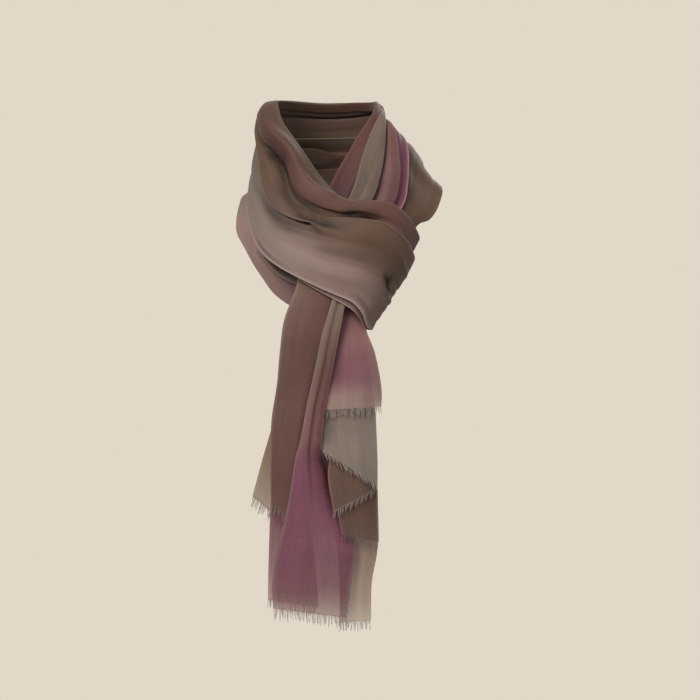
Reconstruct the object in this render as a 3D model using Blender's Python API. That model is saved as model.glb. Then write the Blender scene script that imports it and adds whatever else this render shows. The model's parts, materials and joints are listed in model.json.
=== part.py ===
"""Organza scarf, worn round a neck as a pulled-through loop.

One rectangle of sheer cloth is folded in half, put round the neck, and its two ends are pulled
through the loop that the fold makes. Each named object is one stretch of that cloth that shows,
or one frayed end of it.

Frame: the origin is the middle of the neck opening, level with the foot of the neck. X points to
the right of someone who faces the scarf, Y points to its back and Z points up. The tables are in
millimetres, and the meshes are in metres.
"""

import math

import bpy
import numpy as np

# ---------------------------------------------------------------- driving sizes, in millimetres
MILLIMETRE = 0.001
WALL = 1.2  # thickness of the cloth
HEM_STEP = 2.3  # how far the ply that is rolled in along an edge lies under the cloth
TURN = 1.3  # how far the round edge of a fold stands past its plies
RAMP = 3.0  # rows over which a fold fades in or out
FIRM = 0.25  # a fold grown this far lies where its table says
SPREAD = 1.2  # spacing of a fold's points while it is only a step in the cloth
STEP_HEIGHTS = (1.0, 0.95, 0.85, 0.15, 0.05, 0.0)  # and their heights, as shares of its rise
RISE_RUN = 3.6  # the least run in which the cloth rises onto a fold
FULL_WIDTH = 62.0  # where the cloth is gathered narrower than this, its folds are less deep
EDGE_EASE = 14.0  # run in which the cloth beyond the last fold comes down to its edge
BOW = 9.0  # how far back the tails curve, BOW_REACH to either side of BOW_MIDDLE
BOW_REACH = 50.0
BOW_MIDDLE = -2.0
SWAY = 2.5  # slow wave of the tails, forward and back, on their way down
SWAY_LENGTH = 38.0
FREE_FROM = -160.0  # height under which the tails hang free of the loop
GAP = 0.4  # between an end and its fringe
BAR = 1.6  # height of the strip that a fringe's threads grow from
THREAD = 1.1  # width of a thread at its root
PITCH = 2.3  # spacing of the threads

# ---------------------------------------------------------------- colours, linear RGB
GREIGE = (0.270, 0.205, 0.150)
ROSEWOOD = (0.190, 0.092, 0.072)
BROWN = (0.150, 0.087, 0.054)
MAUVE = (0.270, 0.120, 0.135)
PLUM = (0.230, 0.085, 0.115)
PALE = (0.480, 0.380, 0.310)

# ---------------------------------------------------------------- the first half of the cloth
# Sections of the first half, from inside the loop, up the right of the neck, round its back and
# down its left to the front. Edge a is the one by the neck, edge b is the outer one, and belly is
# how far the middle of the section stands out from the straight line between them.
NECK_STRANDS = (
    # ax, ay, az, bx, by, bz, belly
    (-28, -79, -82, 42, -76, -88, 2),
    (-22, -74, -66, 51, -70, -76, 3),
    (-10, -66, -40, 62, -59, -50, 4),
    (2, -59, -16, 73, -50, -30, 6),
    (12, -54, 4, 76, -45, -14, 7),
    (21, -48, 19, 77, -39, 2, 7),
    (30, -41, 35, 77, -31, 16, 6),
    (38, -33, 46.5, 74, -21, 30, 4),
    (44, -22, 56, 64, -9, 40, 2),
    (46.5, -8, 65, 56, 5, 42, -1),
    (47, 12, 66, 58, 24, 32, 0),
)
NAPE_UPPER = (
    (39, 35, 66, 53, 53, 20, 3),
    (22, 48, 66, 30, 72, 13, 4),
    (0, 54, 65, 0, 79, 11, 4),
    (-21, 48, 66, -30, 73, 11, 4),
    (-38, 35, 67, -54, 56, 8, 4),
)
FRONT_BAND = (
    (-49, 16, 67, -70, 28, 0, 5),
    (-49.5, -4, 65, -75, 6, -14, 6),
    (-44, -25, 47, -77, -14, -24, 7),
    (-35, -38, 33, -77, -34, -36, 8),
    (-26, -47, 20, -75, -50, -49, 8),
    (-17, -54, 7, -70.5, -65, -66.5, 9),
    (-8, -60, -6, -63, -79, -79, 9),
    (2, -66, -17, -50, -91, -90, 9),
    (10, -70, -25, -31, -100, -101, 9),
    (20, -73, -28, -8.5, -105, -112, 8),
    (42, -73, -29, 10, -107, -120, 8),
    (61, -68, -32, 23, -107, -126, 8),
    (75, -61, -43, 32, -104, -136, 8),
    (84, -50, -56, 37, -97, -149, 8),
)
TURN_OF_LOOP = (
    (87, -41, -66, 42, -86, -152, 5),
    (78, -33, -69, 33, -77, -151, 1),
)
FIRST_HALF = NECK_STRANDS + NAPE_UPPER + FRONT_BAND + TURN_OF_LOOP[:1]

# Folds of the first half. start and end are row numbers of FIRST_HALF, at_1 to at_6 say where the
# fold lies from edge a, 0, to edge b, 1, at six even steps from start to end, lap is how deep the
# cloth tucks under itself, and rise is how far the upper ply stands out. A rise below 0 is a fold
# that faces the other way.
FIRST_HALF_FOLDS = (
    # start, end, at_1, at_2, at_3, at_4, at_5, at_6, lap, rise
    (10.0, 27.5, 0.20, 0.24, 0.29, 0.31, 0.27, 0.15, 9.0, 5.0),
    (22.5, 34.0, 0.37, 0.33, 0.27, 0.21, 0.21, 0.21, 8.0, -5.0),
    (-3.0, 9.7, 0.30, 0.28, 0.27, 0.25, 0.27, 0.30, 6.0, -4.6),
    (-3.0, 28.0, 0.55, 0.53, 0.58, 0.50, 0.60, 0.34, 8.0, 4.8),
    (-3.0, 7.8, 0.82, 0.82, 0.82, 0.80, 0.79, 0.80, 6.0, 4.6),
)
# Soft creases: start and end as above, from and to say where the crease lies, half_width is in
# millimetres and depth is how far it goes in, or out where it is below 0.
FIRST_HALF_CREASES = (
    # start, end, from, to, half_width, depth
    (-3.0, 9.0, 0.92, 0.88, 3.0, 1.8),
    (-3.0, 9.0, 0.14, 0.14, 5.0, 1.2),
    (16.0, 26.0, 0.14, 0.10, 10.0, -3.5),
    (16.5, 24.0, 0.80, 0.66, 4.0, 1.6),
    (20.0, 28.5, 0.76, 0.60, 6.0, 1.4),
    (23.0, 31.0, 0.88, 0.74, 5.0, -1.2),
    (11.0, 19.0, 0.84, 0.82, 4.0, 1.6),
)

# ---------------------------------------------------------------- the second half of the cloth
# The same for the second half: from inside the loop, up over the right shoulder, round the back
# under the first half, down the left and across behind the tails.
SHOULDER_FOLD = (
    (34, -69, -78, 58, -65, -96, 1),
    (44, -61, -58, 71, -54, -80, 2),
    (54, -50, -36, 84, -41, -53, 4),
    (58, -38, -14, 96, -31, -46, 3),
    (59, -26, 4, 103, -19, -37, 1),
    (57, -14, 17, 107, -7, -27, 0),
    (54, 0, 28, 109, 5, -17, 0),
    (50, 16, 33, 104, 23, -14, 0),
)
NAPE_LOWER = (
    (42, 34, 34, 76, 60, -18, -1),
    (23, 49, 32, 38, 83, -24, -2),
    (0, 54, 32, 0, 90, -25, -2),
    (-23, 49, 32, -37, 83, -24, -2),
    (-42, 33, 31, -67, 60, -22, -3),
)
BACK_STRAND = (
    (-50, 15, 27, -81, 31, -23, -5),
    (-53, 1, 20, -85, 7, -32, -6),
    (-52, -14, 9, -87.5, -15, -46, -6),
    (-48, -27, -6, -86.5, -36, -58, -5),
    (-42, -37, -20, -79, -50, -72, -4),
    (-34, -44, -33, -71, -58, -87, -2),
    (-25, -48, -42, -62, -62, -101, 0),
    (-10, -51, -48, -50, -66, -117, 1),
    (10, -51, -53, -30, -70, -131, 2),
    (34, -47, -59, -8, -73, -141, 2),
    (60, -39, -66, 14, -76, -149, 2),
)
SECOND_HALF = SHOULDER_FOLD + NAPE_LOWER + BACK_STRAND + TURN_OF_LOOP[1:]
SECOND_HALF_FOLDS = (
    # start, end, at_1, at_2, at_3, at_4, at_5, at_6, lap, rise
    (8.0, 18.0, 0.30, 0.28, 0.30, 0.34, 0.36, 0.40, 8.0, 5.0),
    (1.5, 15.0, 0.60, 0.66, 0.66, 0.64, 0.62, 0.64, 7.0, 4.8),
    (16.5, 24.5, 0.91, 0.88, 0.80, 0.74, 0.70, 0.70, 6.0, 4.6),
)
SECOND_HALF_CREASES = (
    # start, end, from, to, half_width, depth
    (1.0, 8.6, 0.26, 0.32, 14.0, -5.0),
    (7.0, 13.0, 0.84, 0.86, 5.0, 1.6),
    (13.0, 19.0, 0.55, 0.62, 6.0, 1.2),
)

# ---------------------------------------------------------------- the turn of the loop
BIGHT = (
    FRONT_BAND[-2],
    FRONT_BAND[-1],
    TURN_OF_LOOP[0],
    TURN_OF_LOOP[1],
    BACK_STRAND[-1],
    BACK_STRAND[-2],
)
BIGHT_FOLDS = (
    # start, end, at_1, at_2, at_3, at_4, at_5, at_6, lap, rise
    (-8.0, 4.4, 0.21, 0.21, 0.21, 0.21, 0.21, 0.21, 8.0, -5.0),
)

# ---------------------------------------------------------------- the tails
# Sections of each tail from the loop down. Edge a is its left edge and edge b its right one.
TAIL_LEFT = (
    # ax, ay, az, bx, by, bz, belly
    (-26, -86, -89, 12, -87, -93, 1),
    (-31, -96, -114, 11, -97, -119, 2),
    (-41.5, -100, -142, 6, -101, -144, 3),
    (-45.5, -102, -171, 0, -102, -171, 3),
    (-48.5, -103, -204, -7, -103, -204, 2),
    (-53.5, -103, -237, -14, -103, -237, 2),
    (-54.5, -103, -271, -21, -103, -271, 2),
    (-54.5, -103, -298, -26, -103, -302, 1),
    (-54, -103, -316, -29, -103, -337, 1),
)
TAIL_PLUM = (
    (9, -92, -89, 23, -93, -93, 0.5),
    (5, -101.5, -119, 17, -102, -124, 0.5),
    (-5.5, -105.5, -156, 10.5, -105.5, -157, 1),
    (-12.5, -107, -190, 4.5, -106, -190, 1),
    (-20, -108, -223, -2.5, -106, -223, 1),
    (-26, -108.5, -256, -6, -104, -256, 1),
    (-30, -109, -270, -5, -99.5, -269, 1),
    (-33, -109, -286, -0.5, -92, -284, 1),
    (-37, -109, -312, 9, -88.5, -312, 1),
    (-43.5, -109, -342, 22, -88, -343, 2),
    (-50, -109, -368, 27, -92, -362, 3),
    (-53, -108, -394, 22, -95, -392, 4),
    (-52, -107, -416, 18, -97, -425, 4),
)
TAIL_PINK = (
    (8, -82, -89, 34, -81, -91, 0.5),
    (7, -89, -114, 33, -87, -118, 0.5),
    (8, -93, -131, 34, -89, -138, 1),
    (4, -97, -152, 37, -92.5, -154, 1.5),
    (0, -100, -171, 44, -98, -172, 2.5),
    (-4, -101, -195, 49, -99, -195, 2.5),
    (-8, -101.5, -214, 51, -99, -212, 2.5),
    (-9.5, -101.5, -228, 50.5, -99, -224.5, 2.5),
)
TAIL_GREY = (
    (4, -79.6, -84.9, 34, -77.3, -87.9, 0.5),
    (2, -86, -120, 34, -83.5, -124, 0.5),
    (-4, -95, -170, 38, -94, -170, 1),
    (-10, -98, -223, 44.5, -96, -223, 2),
    (-10.5, -99, -247, 46, -97, -249, 2),
    (-8.5, -99.5, -258, 47, -98, -275, 2.5),
    (-5, -100, -266, 47, -98.5, -298, 2.5),
)
TAIL_BROWN = (
    (2, -76, -89, 34, -75, -91, 0.5),
    (2, -83.5, -120, 34, -81.5, -124, 0.5),
    (2, -91, -170, 36, -90.5, -170, 0.5),
    (2, -94, -222, 42, -92.5, -222, 1),
    (2, -96, -266, 44.5, -94.5, -266, 1),
    (0, -98, -292, 46, -95.5, -286, 1),
    (5, -98, -324, 46, -96, -302, 1),
)
TAIL_BROWN_BACK = (
    (0, -73, -89, 34, -72.5, -91, 0.5),
    (2, -80, -120, 34, -79, -124, 0.5),
    (4, -87.5, -170, 36, -87, -170, 0.5),
    (5, -90.5, -222, 42, -89, -222, 1),
    (6, -93, -270, 46, -91, -270, 0.5),
    (9, -94.5, -320, 47.5, -92.5, -320, 0.5),
    (13, -96, -346, 48.5, -92.5, -353, 0.5),
)
TAIL_SHEER = (
    (-2, -70, -89, 34, -70, -91, 0.5),
    (2, -76.5, -120, 34, -76.5, -124, 0.5),
    (4, -81, -148, 33, -81.5, -148, 0.5),
    (4, -83, -170, 36, -83.5, -170, 1),
    (0, -83.5, -222, 41, -83.5, -222, 1),
    (-7, -83.5, -270, 44, -83, -270, 1),
    (-2, -83.5, -320, 46, -83, -320, 1),
    (8, -84, -356, 47, -84, -359, 1.5),
    (11, -85, -394, 41.5, -86, -393, 2),
    (11, -86, -429, 41, -87, -428, 2),
)
TAIL_UNDER = (
    (-27, -84.3, -89, 4, -85.3, -93, 0.5),
    (-30, -91, -116, 2, -92, -120, 0.5),
    (-40, -97, -144, -6, -97, -146, 0.5),
    (-45, -99, -190, -14, -99, -190, 0.5),
    (-50, -100, -237, -18, -100, -237, 0.5),
    (-53, -100, -285, -23, -99, -285, 1),
    (-55, -100, -330, -18, -96, -330, 1),
    (-56.5, -101, -375, -12, -94, -377, 1),
    (-57, -101, -408, -9, -94, -414, 1),
)
FLAP_LEFT = (
    (-22, -82.7, -89, 2, -83.7, -93, 0.5),
    (-27, -87, -116, 0, -88, -120, 0.5),
    (-38, -93, -146, -8, -93, -146, 0.5),
    (-44, -95, -190, -16, -95, -190, 0.5),
    (-50, -95, -230, -22, -95, -232, 0.5),
    (-55, -95, -250, -26, -95, -262, 0.5),
    (-62, -95, -274, -30, -95, -292, 0.5),
    (-71.5, -95, -309, -38, -95, -338, 0.5),
)
TAIL_CREASES = (
    # start, end, from, to, half_width, depth
    (0.5, 9.0, 0.30, 0.36, 4.0, 1.2),
    (2.0, 12.0, 0.66, 0.72, 5.0, -1.2),
)
TAIL_PLUM_CREASES = (
    # start, end, from, to, half_width, depth
    (-2.0, 9.0, 0.56, 0.50, 2.2, 2.4),
    (6.0, 14.0, 0.34, 0.30, 7.0, -1.5),
)

# Each fringe: the tail it ends, its thread length, and how far the threads lean to the right for
# each millimetre that they fall.
FRINGES = (
    # tail, length, lean
    ("tail_left", 9.0, -0.25),
    ("tail_plum", 10.5, 0.05),
    ("tail_pink", 9.0, 0.05),
    ("tail_grey", 9.0, 0.30),
    ("tail_brown", 8.5, -0.20),
    ("tail_brown_back", 8.0, 0.15),
    ("tail_sheer", 9.0, 0.05),
    ("tail_under", 9.0, -0.10),
    ("flap_left", 10.0, -0.30),
)


def smooth(value):
    """0 below 0, 1 above 1 and an even ease between them."""
    value = min(max(value, 0.0), 1.0)
    return value * value * (3.0 - 2.0 * value)


def table_at(rows, place):
    """The smooth run through a table's rows at place, a row number with a fraction."""
    last = len(rows) - 1
    index = min(max(int(math.floor(place)), 0), last - 1)
    part = place - index
    here = np.array(rows[index], float)
    after = np.array(rows[index + 1], float)
    before = np.array(rows[index - 1], float) if index > 0 else 2.0 * here - after
    beyond = np.array(rows[index + 2], float) if index + 2 <= last else 2.0 * after - here
    slope_here = (after - before) / 2.0
    slope_after = (beyond - here) / 2.0
    part_2 = part * part
    part_3 = part_2 * part
    return (
        (2.0 * part_3 - 3.0 * part_2 + 1.0) * here
        + (part_3 - 2.0 * part_2 + part) * slope_here
        + (3.0 * part_2 - 2.0 * part_3) * after
        + (part_3 - part_2) * slope_after
    )


def strength(place, start, end):
    """How much of a fold or crease there is at a row number, from 0 to 1."""
    return min(smooth((place - start) / RAMP), smooth((end - place) / RAMP))


def unit(vector):
    return vector / max(np.linalg.norm(vector), 1e-9)


def plain_point(rows, place, share):
    """A point of the unfolded cloth, with the belly of its section."""
    row = table_at(rows, place)
    edge_a = row[0:3]
    edge_b = row[3:6]
    ahead = table_at(rows, place + 0.05)
    behind = table_at(rows, place - 0.05)
    flow = (ahead[0:3] + ahead[3:6]) - (behind[0:3] + behind[3:6])
    outward = unit(np.cross(edge_b - edge_a, flow))
    arch = 4.0 * share * (1.0 - share) if 0.0 < share < 1.0 else 0.0
    return edge_a + (edge_b - edge_a) * share + outward * row[6] * arch


def outward_at(rows, place, share):
    """The direction out of the cloth's face at a point."""
    share = min(max(share, 0.02), 0.98)
    across = plain_point(rows, place, share + 0.02) - plain_point(rows, place, share - 0.02)
    along = plain_point(rows, place + 0.05, share) - plain_point(rows, place - 0.05, share)
    return unit(np.cross(across, along))


def fold_centres(folds, place, width):
    """How far from edge a each fold lies at a section."""
    centres = []
    for fold in folds:
        span = min(max((place - fold[0]) / (fold[1] - fold[0]), 0.0), 1.0)
        centres.append(table_at([(at,) for at in fold[2:8]], span * 5.0)[0] * width)
    return centres


def fold_lap(folds, centres, grown, number, width):
    """A fold's lap at a section, cut down to the room on the side that it is tucked to."""
    fold = folds[number]
    lap = fold[8] * min(1.0, width / FULL_WIDTH)
    side = -1 if fold[9] > 0.0 else 1
    room = centres[number] if side < 0 else width - centres[number]
    room -= RISE_RUN
    others = range(number - 1, -1, -1) if side < 0 else range(number + 1, len(folds))
    for other in others:
        distance = abs(centres[number] - centres[other]) + width * (1.0 - smooth(grown[other] / FIRM))
        facing = fold[9] * folds[other][9] < 0.0
        room = min(room, distance / 2.0 - WALL if facing else distance - TURN - RISE_RUN)
    return min(lap, max(room - TURN, 0.5))


def fold_points(fold, centre, grown, lap, width):
    """The six (share, height) points of one lapped fold, and how far the cloth by it is level.

    A fold grows from plain cloth into a steep step, and then from the step into its laps.
    """
    rise = abs(fold[9]) * min(1.0, 0.5 + 0.5 * width / FULL_WIDTH)
    up = smooth(grown * 2.0)
    under = smooth(grown * 2.0 - 1.0)
    step = [((number - 2.5) * SPREAD, height) for number, height in enumerate(STEP_HEIGHTS)]
    laps = [(0.0, 1.0), (TURN, 0.78), (0.0, 0.57), (-lap, 0.43), (-lap - TURN, 0.22), (-lap, 0.0)]
    if fold[9] < 0.0:
        step = [(-along, height) for along, height in reversed(step)]
        laps = [(-along, height) for along, height in reversed(laps)]
    points = []
    for (plain, high), (along, height) in zip(step, laps):
        offset = plain + (along - plain) * under
        points.append(((centre + offset) / width, rise * up * (high + (height - high) * under)))
    return points, (lap + TURN + WALL / 2.0) * under / width


def flat_points(first, last, count, level_first, level_last):
    """Points of the cloth between two folds, easing from one height to the next.

    The cloth keeps its height for level_first past the first point and level_last before the
    last, where a fold's plies lie under it.
    """
    length = max(last[0] - first[0], 1e-6)
    low, high = level_first / length, 1.0 - level_last / length
    if high - low < 0.1:
        middle = level_first / max(level_first + level_last, 1e-6)
        low, high = 0.9 * middle, 0.9 * middle + 0.1
    begin = min(max(low, 1.0 / (count + 1.0)), 0.36)
    finish = max(min(high, count / (count + 1.0)), 0.64)
    found = []
    for number in range(count):
        part = begin + (finish - begin) * (number / (count - 1.0) if count > 1 else 0.5)
        ease = smooth((part - low) / (high - low))
        found.append((first[0] + length * part, first[1] + (last[1] - first[1]) * ease))
    return found


def laid_section(folds, place, flats, width):
    """(share, height) from edge a to edge b of a section with its folds laid.

    Folds keep the order of their table. One that has faded out waits as plain cloth between its
    neighbours, and one that grows moves from there to its own place.
    """
    grown = [strength(place, fold[0], fold[1]) for fold in folds]
    centres = fold_centres(folds, place, width)
    own = []
    for number, fold in enumerate(folds):
        lap = fold_lap(folds, centres, grown, number, width)
        own.append(fold_points(fold, centres[number], grown[number], lap, width))
    firm = [number for number, now in enumerate(grown) if now >= FIRM]
    edge_height = 0.0
    if firm:
        end = own[firm[-1]][0][-1]
        edge_height = end[1] * (1.0 - smooth((1.0 - end[0]) * width / EDGE_EASE))
    groups = [group for group, level in own]
    levels = [level for group, level in own]
    for first, last in zip([-1] + firm, firm + [len(folds)]):
        start = (groups[first][-1], levels[first]) if first >= 0 else ((0.0, 0.0), 0.0)
        end = (groups[last][0], levels[last]) if last < len(folds) else ((1.0, edge_height), 0.0)
        waiting = range(first + 1, last)
        count = len(waiting) * (6 + flats) + flats
        plain = flat_points(start[0], end[0], count, start[1], end[1])
        for index, number in enumerate(waiting):
            begin = flats + index * (6 + flats)
            ready = smooth(grown[number] / FIRM)
            mixed = zip(plain[begin:begin + 6], groups[number])
            groups[number] = [
                (rest[0] + (point[0] - rest[0]) * ready, rest[1] + (point[1] - rest[1]) * ready)
                for rest, point in mixed
            ]
    points = [(0.0, 0.0)]
    held = 0.0
    for group, level in zip(groups, levels):
        points += flat_points(points[-1], group[0], flats, held, level) + group
        held = level
    return points + flat_points(points[-1], (1.0, edge_height), flats, held, 0.0) + [(1.0, edge_height)]


def section_points(folds, creases, hem, place, flats, width):
    """(share, height) of each point of a section, with its rolled edges and its creases."""
    points = laid_section(folds, place, flats, width)
    height = points[-1][1]
    if hem[0]:
        rolled = [(hem[0] / width, -HEM_STEP), (0.0, -HEM_STEP), (-TURN / width, -HEM_STEP / 2.0)]
        points = rolled + points
    if hem[1]:
        points += [(1.0 + TURN / width, height - HEM_STEP / 2.0), (1.0, height - HEM_STEP)]
        points += [(1.0 - hem[1] / width, height - HEM_STEP)]
    creased = []
    for share, height in points:
        for start, end, at_start, at_end, half_width, depth in creases:
            span = min(max((place - start) / (end - start), 0.0), 1.0)
            offset = (share - at_start - (at_end - at_start) * span) * width / half_width
            height -= depth * strength(place, start, end) * math.exp(-offset * offset)
        creased.append((share, height))
    return creased


def cloth_grid(rows, folds, creases, hem, first, last, steps, flats, facing):
    """The middle surface of one stretch, as an array of sections of points."""
    near = [fold for fold in folds if fold[0] < last and fold[1] > first]
    soft = [crease for crease in creases if crease[0] < last and crease[1] > first]
    grid = []
    for step in range(steps + 1):
        place = first + (last - first) * step / steps
        row = table_at(rows, place)
        width = np.linalg.norm(row[3:6] - row[0:3])
        section = []
        for share, height in section_points(near, soft, hem, place, flats, width):
            out = outward_at(rows, place, share) * facing
            section.append(plain_point_faced(rows, place, share, facing) + out * height)
        grid.append(section)
    return np.array(grid)


def plain_point_faced(rows, place, share, facing):
    """The plain point, with the belly on the side that faces out."""
    if facing > 0.0:
        return plain_point(rows, place, share)
    row = table_at(rows, place)
    straight = row[0:3] + (row[3:6] - row[0:3]) * share
    return 2.0 * straight - plain_point(rows, place, share)


def hang(points):
    """Curves a tail round the chest that it hangs on, and lets it sway a little on its way down."""
    across, height = points[..., 0], points[..., 2]
    free = np.clip((FREE_FROM - height) / 60.0, 0.0, 1.0)
    points[..., 1] += BOW * ((across - BOW_MIDDLE) / BOW_REACH) ** 2 * free
    points[..., 1] += SWAY * np.sin((height + 0.35 * across) / SWAY_LENGTH) * free
    return points


def directions(grid, axis):
    """The unit direction of the grid's lines along an axis, halfway round at each corner."""
    steps = np.diff(grid, axis=axis)
    steps /= np.maximum(np.linalg.norm(steps, axis=2, keepdims=True), 1e-9)
    first, last = np.take(steps, [0], axis), np.take(steps, [-1], axis)
    mean = np.concatenate([first, steps], axis) + np.concatenate([steps, last], axis)
    return mean / np.maximum(np.linalg.norm(mean, axis=2, keepdims=True), 1e-9)


def grid_normals(grid):
    """The unit normal of the middle surface at each of its points."""
    normals = np.cross(directions(grid, 1), directions(grid, 0))
    return normals / np.maximum(np.linalg.norm(normals, axis=2, keepdims=True), 1e-9)


def wall_mesh(grid):
    """Vertices and faces of a closed wall on both sides of a middle surface."""
    normals = grid_normals(grid)
    rows, columns = grid.shape[0], grid.shape[1]
    outer = grid + normals * WALL / 2.0
    inner = grid - normals * WALL / 2.0
    vertices = [tuple(point) for point in outer.reshape(-1, 3)]
    vertices += [tuple(point) for point in inner.reshape(-1, 3)]
    back = rows * columns
    faces = []
    for i in range(rows - 1):
        for j in range(columns - 1):
            a = i * columns + j
            b = a + columns
            faces.append((a, b, b + 1, a + 1))
            faces.append((back + a, back + a + 1, back + b + 1, back + b))
    for j in range(columns - 1):
        a = j
        b = (rows - 1) * columns + j
        faces.append((a, a + 1, back + a + 1, back + a))
        faces.append((b, back + b, back + b + 1, b + 1))
    for i in range(rows - 1):
        a = i * columns
        b = a + columns
        faces.append((a, back + a, back + b, b))
        a += columns - 1
        b += columns - 1
        faces.append((a, b, back + b, back + a))
    return vertices, faces


def signed_volume(vertices, faces):
    total = 0.0
    for face in faces:
        corner = np.array(vertices[face[0]])
        for second, third in zip(face[1:-1], face[2:]):
            total += np.dot(corner, np.cross(vertices[second], vertices[third]))
    return total / 6.0


def cloth_material(name, colour, alpha):
    material = bpy.data.materials.new(name)
    material.use_nodes = True
    shader = material.node_tree.nodes["Principled BSDF"]
    shader.inputs["Base Color"].default_value = (*colour, 1.0)
    shader.inputs["Roughness"].default_value = 0.6
    shader.inputs["Metallic"].default_value = 0.0
    shader.inputs["Alpha"].default_value = alpha
    material.diffuse_color = (*colour, 1.0)
    return material


def add_object(name, vertices, faces, colour, alpha=1.0):
    """One solid, its faces turned outwards."""
    if signed_volume(vertices, faces) < 0.0:
        faces = [tuple(reversed(face)) for face in faces]
    mesh = bpy.data.meshes.new(name)
    mesh.from_pydata([tuple(c * MILLIMETRE for c in v) for v in vertices], [], faces)
    mesh.validate()
    for polygon in mesh.polygons:
        polygon.use_smooth = True
    mesh.materials.append(cloth_material(name, colour, alpha))
    body = bpy.data.objects.new(name, mesh)
    bpy.context.scene.collection.objects.link(body)
    body.parent = bpy.data.objects["scarf"]
    return body


def fringe_mesh(edge, length, lean):
    """A narrow strip along a frayed end, with pointed threads fused into its lower side."""
    steps = np.linalg.norm(np.diff(edge, axis=0), axis=1)
    reach = np.concatenate([[0.0], np.cumsum(steps)])
    count = int((reach[-1] - 2.0) / PITCH)
    down = unit(np.array((lean, 0.0, -1.0)))
    depth = np.array((0.0, 0.5, 0.0))
    vertices, faces = [], []

    def add_pair(distance, fall):
        middle = np.array([np.interp(distance, reach, edge[:, axis]) for axis in range(3)])
        middle = middle + down * (GAP + fall)
        vertices.extend((tuple(middle - depth), tuple(middle + depth)))
        return len(vertices) - 2

    centres = [reach[-1] / 2.0 + (number - (count - 1) / 2.0) * PITCH for number in range(count)]
    top = add_pair(0.4, 0.0)
    low = add_pair(0.4, BAR)
    faces.append((top, top + 1, low + 1, low))
    for number, centre in enumerate(centres):
        left = add_pair(centre - THREAD / 2.0, BAR)
        faces.append((low, low + 1, left + 1, left))
        faces += [(top, low, left), (top + 1, left + 1, low + 1)]
        above = add_pair(centre, 0.0)
        faces += [(top, left, above), (top + 1, above + 1, left + 1)]
        faces.append((top, above, above + 1, top + 1))
        right = add_pair(centre + THREAD / 2.0, BAR)
        faces += [(above, left, right), (above + 1, right + 1, left + 1)]
        wave = 0.05 * math.sin(3.8 * number) + 0.03 * math.sin(10.6 * number + 1.0)
        fall = length * (0.87 + 0.13 * math.sin(5.4 * number))
        root = (np.array(vertices[left]) + np.array(vertices[right + 1])) / 2.0
        tip = len(vertices)
        vertices.append(tuple(root + (down + np.array((wave, wave * 0.4, 0.0))) * fall))
        faces += [(left, left + 1, tip), (left + 1, right + 1, tip)]
        faces += [(right + 1, right, tip), (right, left, tip)]
        top, low = above, right
    end_top = add_pair(reach[-1] - 0.4, 0.0)
    end_low = add_pair(reach[-1] - 0.4, BAR)
    faces.append((low, low + 1, end_low + 1, end_low))
    faces += [(top, low, end_low, end_top), (top + 1, end_top + 1, end_low + 1, low + 1)]
    faces.append((top, end_top, end_top + 1, top + 1))
    faces.append((end_top, end_low, end_low + 1, end_top + 1))
    return vertices, faces


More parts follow.
